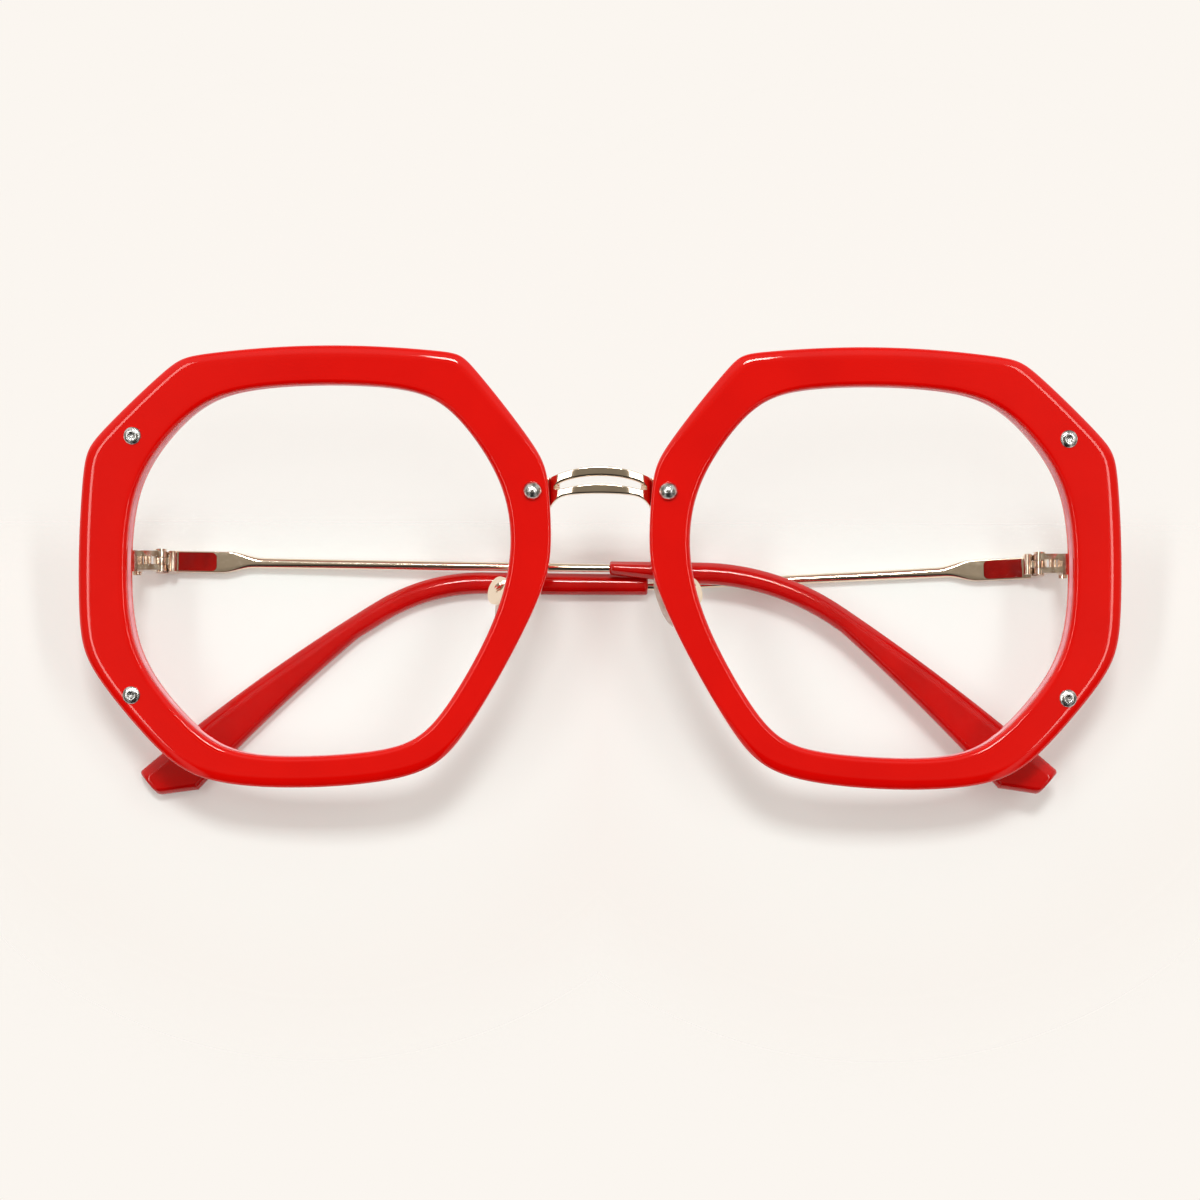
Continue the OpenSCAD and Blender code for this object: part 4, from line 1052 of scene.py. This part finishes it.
def build_tip(side):
    temple = TEMPLES[side]
    length = sum(leg[0] for leg in temple["legs"])
    start_y = wire_y(temple, temple["start"]) + temple["core"]
    z = TIP_T / 2 - BAR_IN - BAR_T
    bm = bmesh.new()
    rings = []
    for s, shrink in tip_stations(length):
        x, y, a = run_point(temple["legs"], s, temple["start"], start_y, math.radians(temple["heading"]))
        section = rounded(tip_section(tip_height(temple, s, length), shrink), TIP_ROUNDS, count=5)
        rings.append([Vector((x - q * math.sin(a), y + q * math.cos(a), z + w)) for q, w in section])
    add_rings(bm, rings)
    piece = make_piece(f"temple_tip_{side}_polished", bm, at_temple(side), f"temple_{side}",
                       [SHADED_TIP_RED])
    sharpen(piece, degrees=35)
    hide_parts(f"temple_tip_{side}")


# Nose pads

def pad_point(a, size, depth):
    """A point of a pad's rounded outline at an angle, at shares of its size and thickness."""
    x, y = (math.copysign(abs(c) ** PAD_SQUARENESS, c) for c in (math.cos(a), math.sin(a)))
    return Vector((PAD_WIDTH / 2 * size * x, PAD_LENGTH / 2 * size * y, PAD_T * depth))


def build_pad(side):
    angles = [2 * math.pi * k / PAD_POINTS for k in range(PAD_POINTS)]
    bm = bmesh.new()
    add_rings(bm, [[pad_point(a, size, depth) for a in angles] for size, depth in PAD_LEVELS])
    piece = make_piece(f"nose_pad_{side}_clear", bm, at_pad(side), f"pad_{side}", [SILICONE])
    sharpen(piece, degrees=50)
    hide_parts(f"nose_pad_{side}")


# CAD nodes that stay: name, material, bevel width and crease angle

KEPT = [("endpiece", HINGE_PAINTED_GLINTS, 0.1, 32), ("hinge_screw", HINGE_PAINTED_GLINTS, 0.05, 32), ("pad_arm", GOLD, 0.07, 50),
        ("pad_core", GOLD, 0.06, 32), ("pad_screw", SILVER_PAINTED_MOTTLE, 0.05, 32), ("temple_inlay", RESIN, 0.05, 32)]


def dress_nodes():
    for stem, material, width, crease in KEPT:
        for side in SIDES:
            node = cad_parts[f"{stem}_{side}"]
            node.data.materials.clear()
            node.data.materials.append(material)
            node.data.shade_smooth()
            sharpen(node, crease)
            bevel(node, width, crease + BEVEL_PAST_CREASE)


# Stage: floor, world, lamps and camera

def paper_material():
    """Pale paper. To the camera a share of it is see-through, on the world's paper colour: all of it far
    from the part, much of it on the upper side, so that no shade falls there and opened temples show.
    To glossy rays that share glows instead."""
    m, tree, shader = new_material("pale paper")
    place = add_node(tree, "ShaderNodeTexCoord").outputs["Object"]
    away = vector_math(tree, "DISTANCE", vector_math(tree, "ABSOLUTE", place), (RIM_CENTRE * MM, 0, 0))
    near = smooth_step(tree, away, *FLOOR_NEAR, 1, 0)
    # Painted light: the paper's colour is lifted near the rims, against the red and the shade they throw on
    # it.
    tints = [tuple(c * k for c, k in zip(PAPER, tint)) for tint in (TINT_FAR, PAINTED_LIGHT_NEAR)]
    tree.links.new(ramp(tree, near, list(zip((0.0, 1.0), tints))), shader.inputs["Base Color"])
    grain = bump(tree, noise(tree, scale=900), strength=0.05, distance=0.05)
    tree.links.new(grain, shader.inputs["Normal"])
    shader.inputs["Roughness"].default_value = 0.9
    shader.inputs["Specular IOR Level"].default_value = 0.0

    share = scalar_math(tree, "MAXIMUM", smooth_step(tree, split(tree, place)["Y"], *FLOOR_STEP),
                        smooth_step(tree, away, *FLOOR_FAR, 0, 1))
    rays = add_node(tree, "ShaderNodeLightPath").outputs
    seen = scalar_math(tree, "MAXIMUM", rays["Is Camera Ray"], rays["Is Glossy Ray"])
    glow = add_node(tree, "ShaderNodeEmission")
    glow.inputs["Color"].default_value = (*PAPER, 1)
    clear = add_node(tree, "ShaderNodeBsdfTransparent")
    through = mix_shaders(tree, rays["Is Camera Ray"], glow.outputs["Emission"], clear.outputs["BSDF"])
    mixed = mix_shaders(tree, scalar_math(tree, "MULTIPLY", seen, share), shader.outputs["BSDF"], through)
    tree.links.new(mixed, tree.nodes["Material Output"].inputs["Surface"])
    return m


def build_floor():
    bm = bmesh.new()
    bmesh.ops.create_grid(bm, x_segments=2, y_segments=2, size=FLOOR_HALF)
    mesh = bpy.data.meshes.new("floor")
    bm.to_mesh(mesh)
    bm.free()
    mesh.materials.append(paper_material())
    floor = bpy.data.objects.new("floor", mesh)
    bpy.context.collection.objects.link(floor)


def build_world():
    """A soft tent: dim above, most of all on the front's own axis, with bright bands at the sides and
    the top, dark at the bottom. Below the level, and where the camera sees it, it has the paper's
    colour."""
    world = bpy.data.worlds.new("studio")
    bpy.context.scene.world = world
    world.use_nodes = True
    tree = world.node_tree
    direction = add_node(tree, "ShaderNodeTexCoord").outputs["Generated"]
    parts = split(tree, direction)
    upward = add_node(tree, "ShaderNodeMath", operation="MULTIPLY_ADD")
    upward.inputs[1].default_value = upward.inputs[2].default_value = 0.5
    tree.links.new(parts["Y"], upward.inputs[0])
    rows = ramp(tree, upward.outputs["Value"], TENT_ROWS)
    axis = (0, -math.sin(FRONT_TILT), math.cos(FRONT_TILT))
    stretched = vector_math(tree, "MULTIPLY", direction, SPOT_STRETCH)
    spot = ramp(tree, vector_math(tree, "DISTANCE", stretched, axis), TENT_SPOT)
    colours = vector_math(tree, "MULTIPLY", rows, spot)
    sides = ramp(tree, scalar_math(tree, "ABSOLUTE", parts["X"]), TENT_SIDES)
    for other in (sides, ramp(tree, parts["Z"], TENT_BELOW)):
        colours = vector_math(tree, "MAXIMUM", colours, other)
    tent = tree.nodes["Background"]
    tree.links.new(colours, tent.inputs["Color"])
    backdrop = add_node(tree, "ShaderNodeBackground")
    backdrop.inputs["Color"].default_value = (*PAPER, 1)
    rays = add_node(tree, "ShaderNodeLightPath").outputs
    mixed = mix_shaders(tree, rays["Is Camera Ray"], tent.outputs["Background"],
                        backdrop.outputs["Background"])
    tree.links.new(mixed, tree.nodes["World Output"].inputs["Surface"])


def add_lamp(name, towards, distance, width, height, level):
    """A soft box in a direction from the object, facing it, that alone lights level paper to a level."""
    data = bpy.data.lights.new(name, "AREA")
    data.shape = "RECTANGLE"
    data.size, data.size_y = width, height
    lamp = bpy.data.objects.new(name, data)
    direction = Vector(towards).normalized()
    data.energy = level * math.pi ** 2 * distance ** 2 / direction.z
    lamp.location = direction * distance
    lamp.rotation_euler = direction.to_track_quat("Z", "Y").to_euler()
    bpy.context.collection.objects.link(lamp)


def build_camera():
    data = bpy.data.cameras.new("camera")
    camera = bpy.data.objects.new("camera", data)
    bpy.context.collection.objects.link(camera)
    data.sensor_width = SENSOR_WIDTH
    data.lens = SENSOR_WIDTH * CAMERA_DISTANCE / (PHOTO_WIDTH / PIXELS_PER_MM)
    data.clip_start, data.clip_end = 0.01, 20.0
    place = FRONT @ Vector((0, CAMERA_HEIGHT, FRONT_RISE + CAMERA_DISTANCE))
    tilt = turn("X", math.degrees(FRONT_TILT))
    camera.matrix_world = shift(*(place * MM)) @ tilt @ turn("Z", CAMERA_ROLL)
    bpy.context.scene.camera = camera


build_camera()
for side in SIDES:
    build_rim(side)
    build_lens(side)
    build_rivets(side)
    build_hinge_ribs(side)
    build_temple_bar(side)
    build_temple_knuckle(side)
    build_tip(side)
    build_pad(side)
build_bridge()
for side in SIDES:
    build_lug(side)
dress_nodes()
build_floor()
build_world()
for name, settings in LAMPS.items():
    add_lamp(name, *settings)
bpy.context.scene.view_settings.view_transform = "Standard"
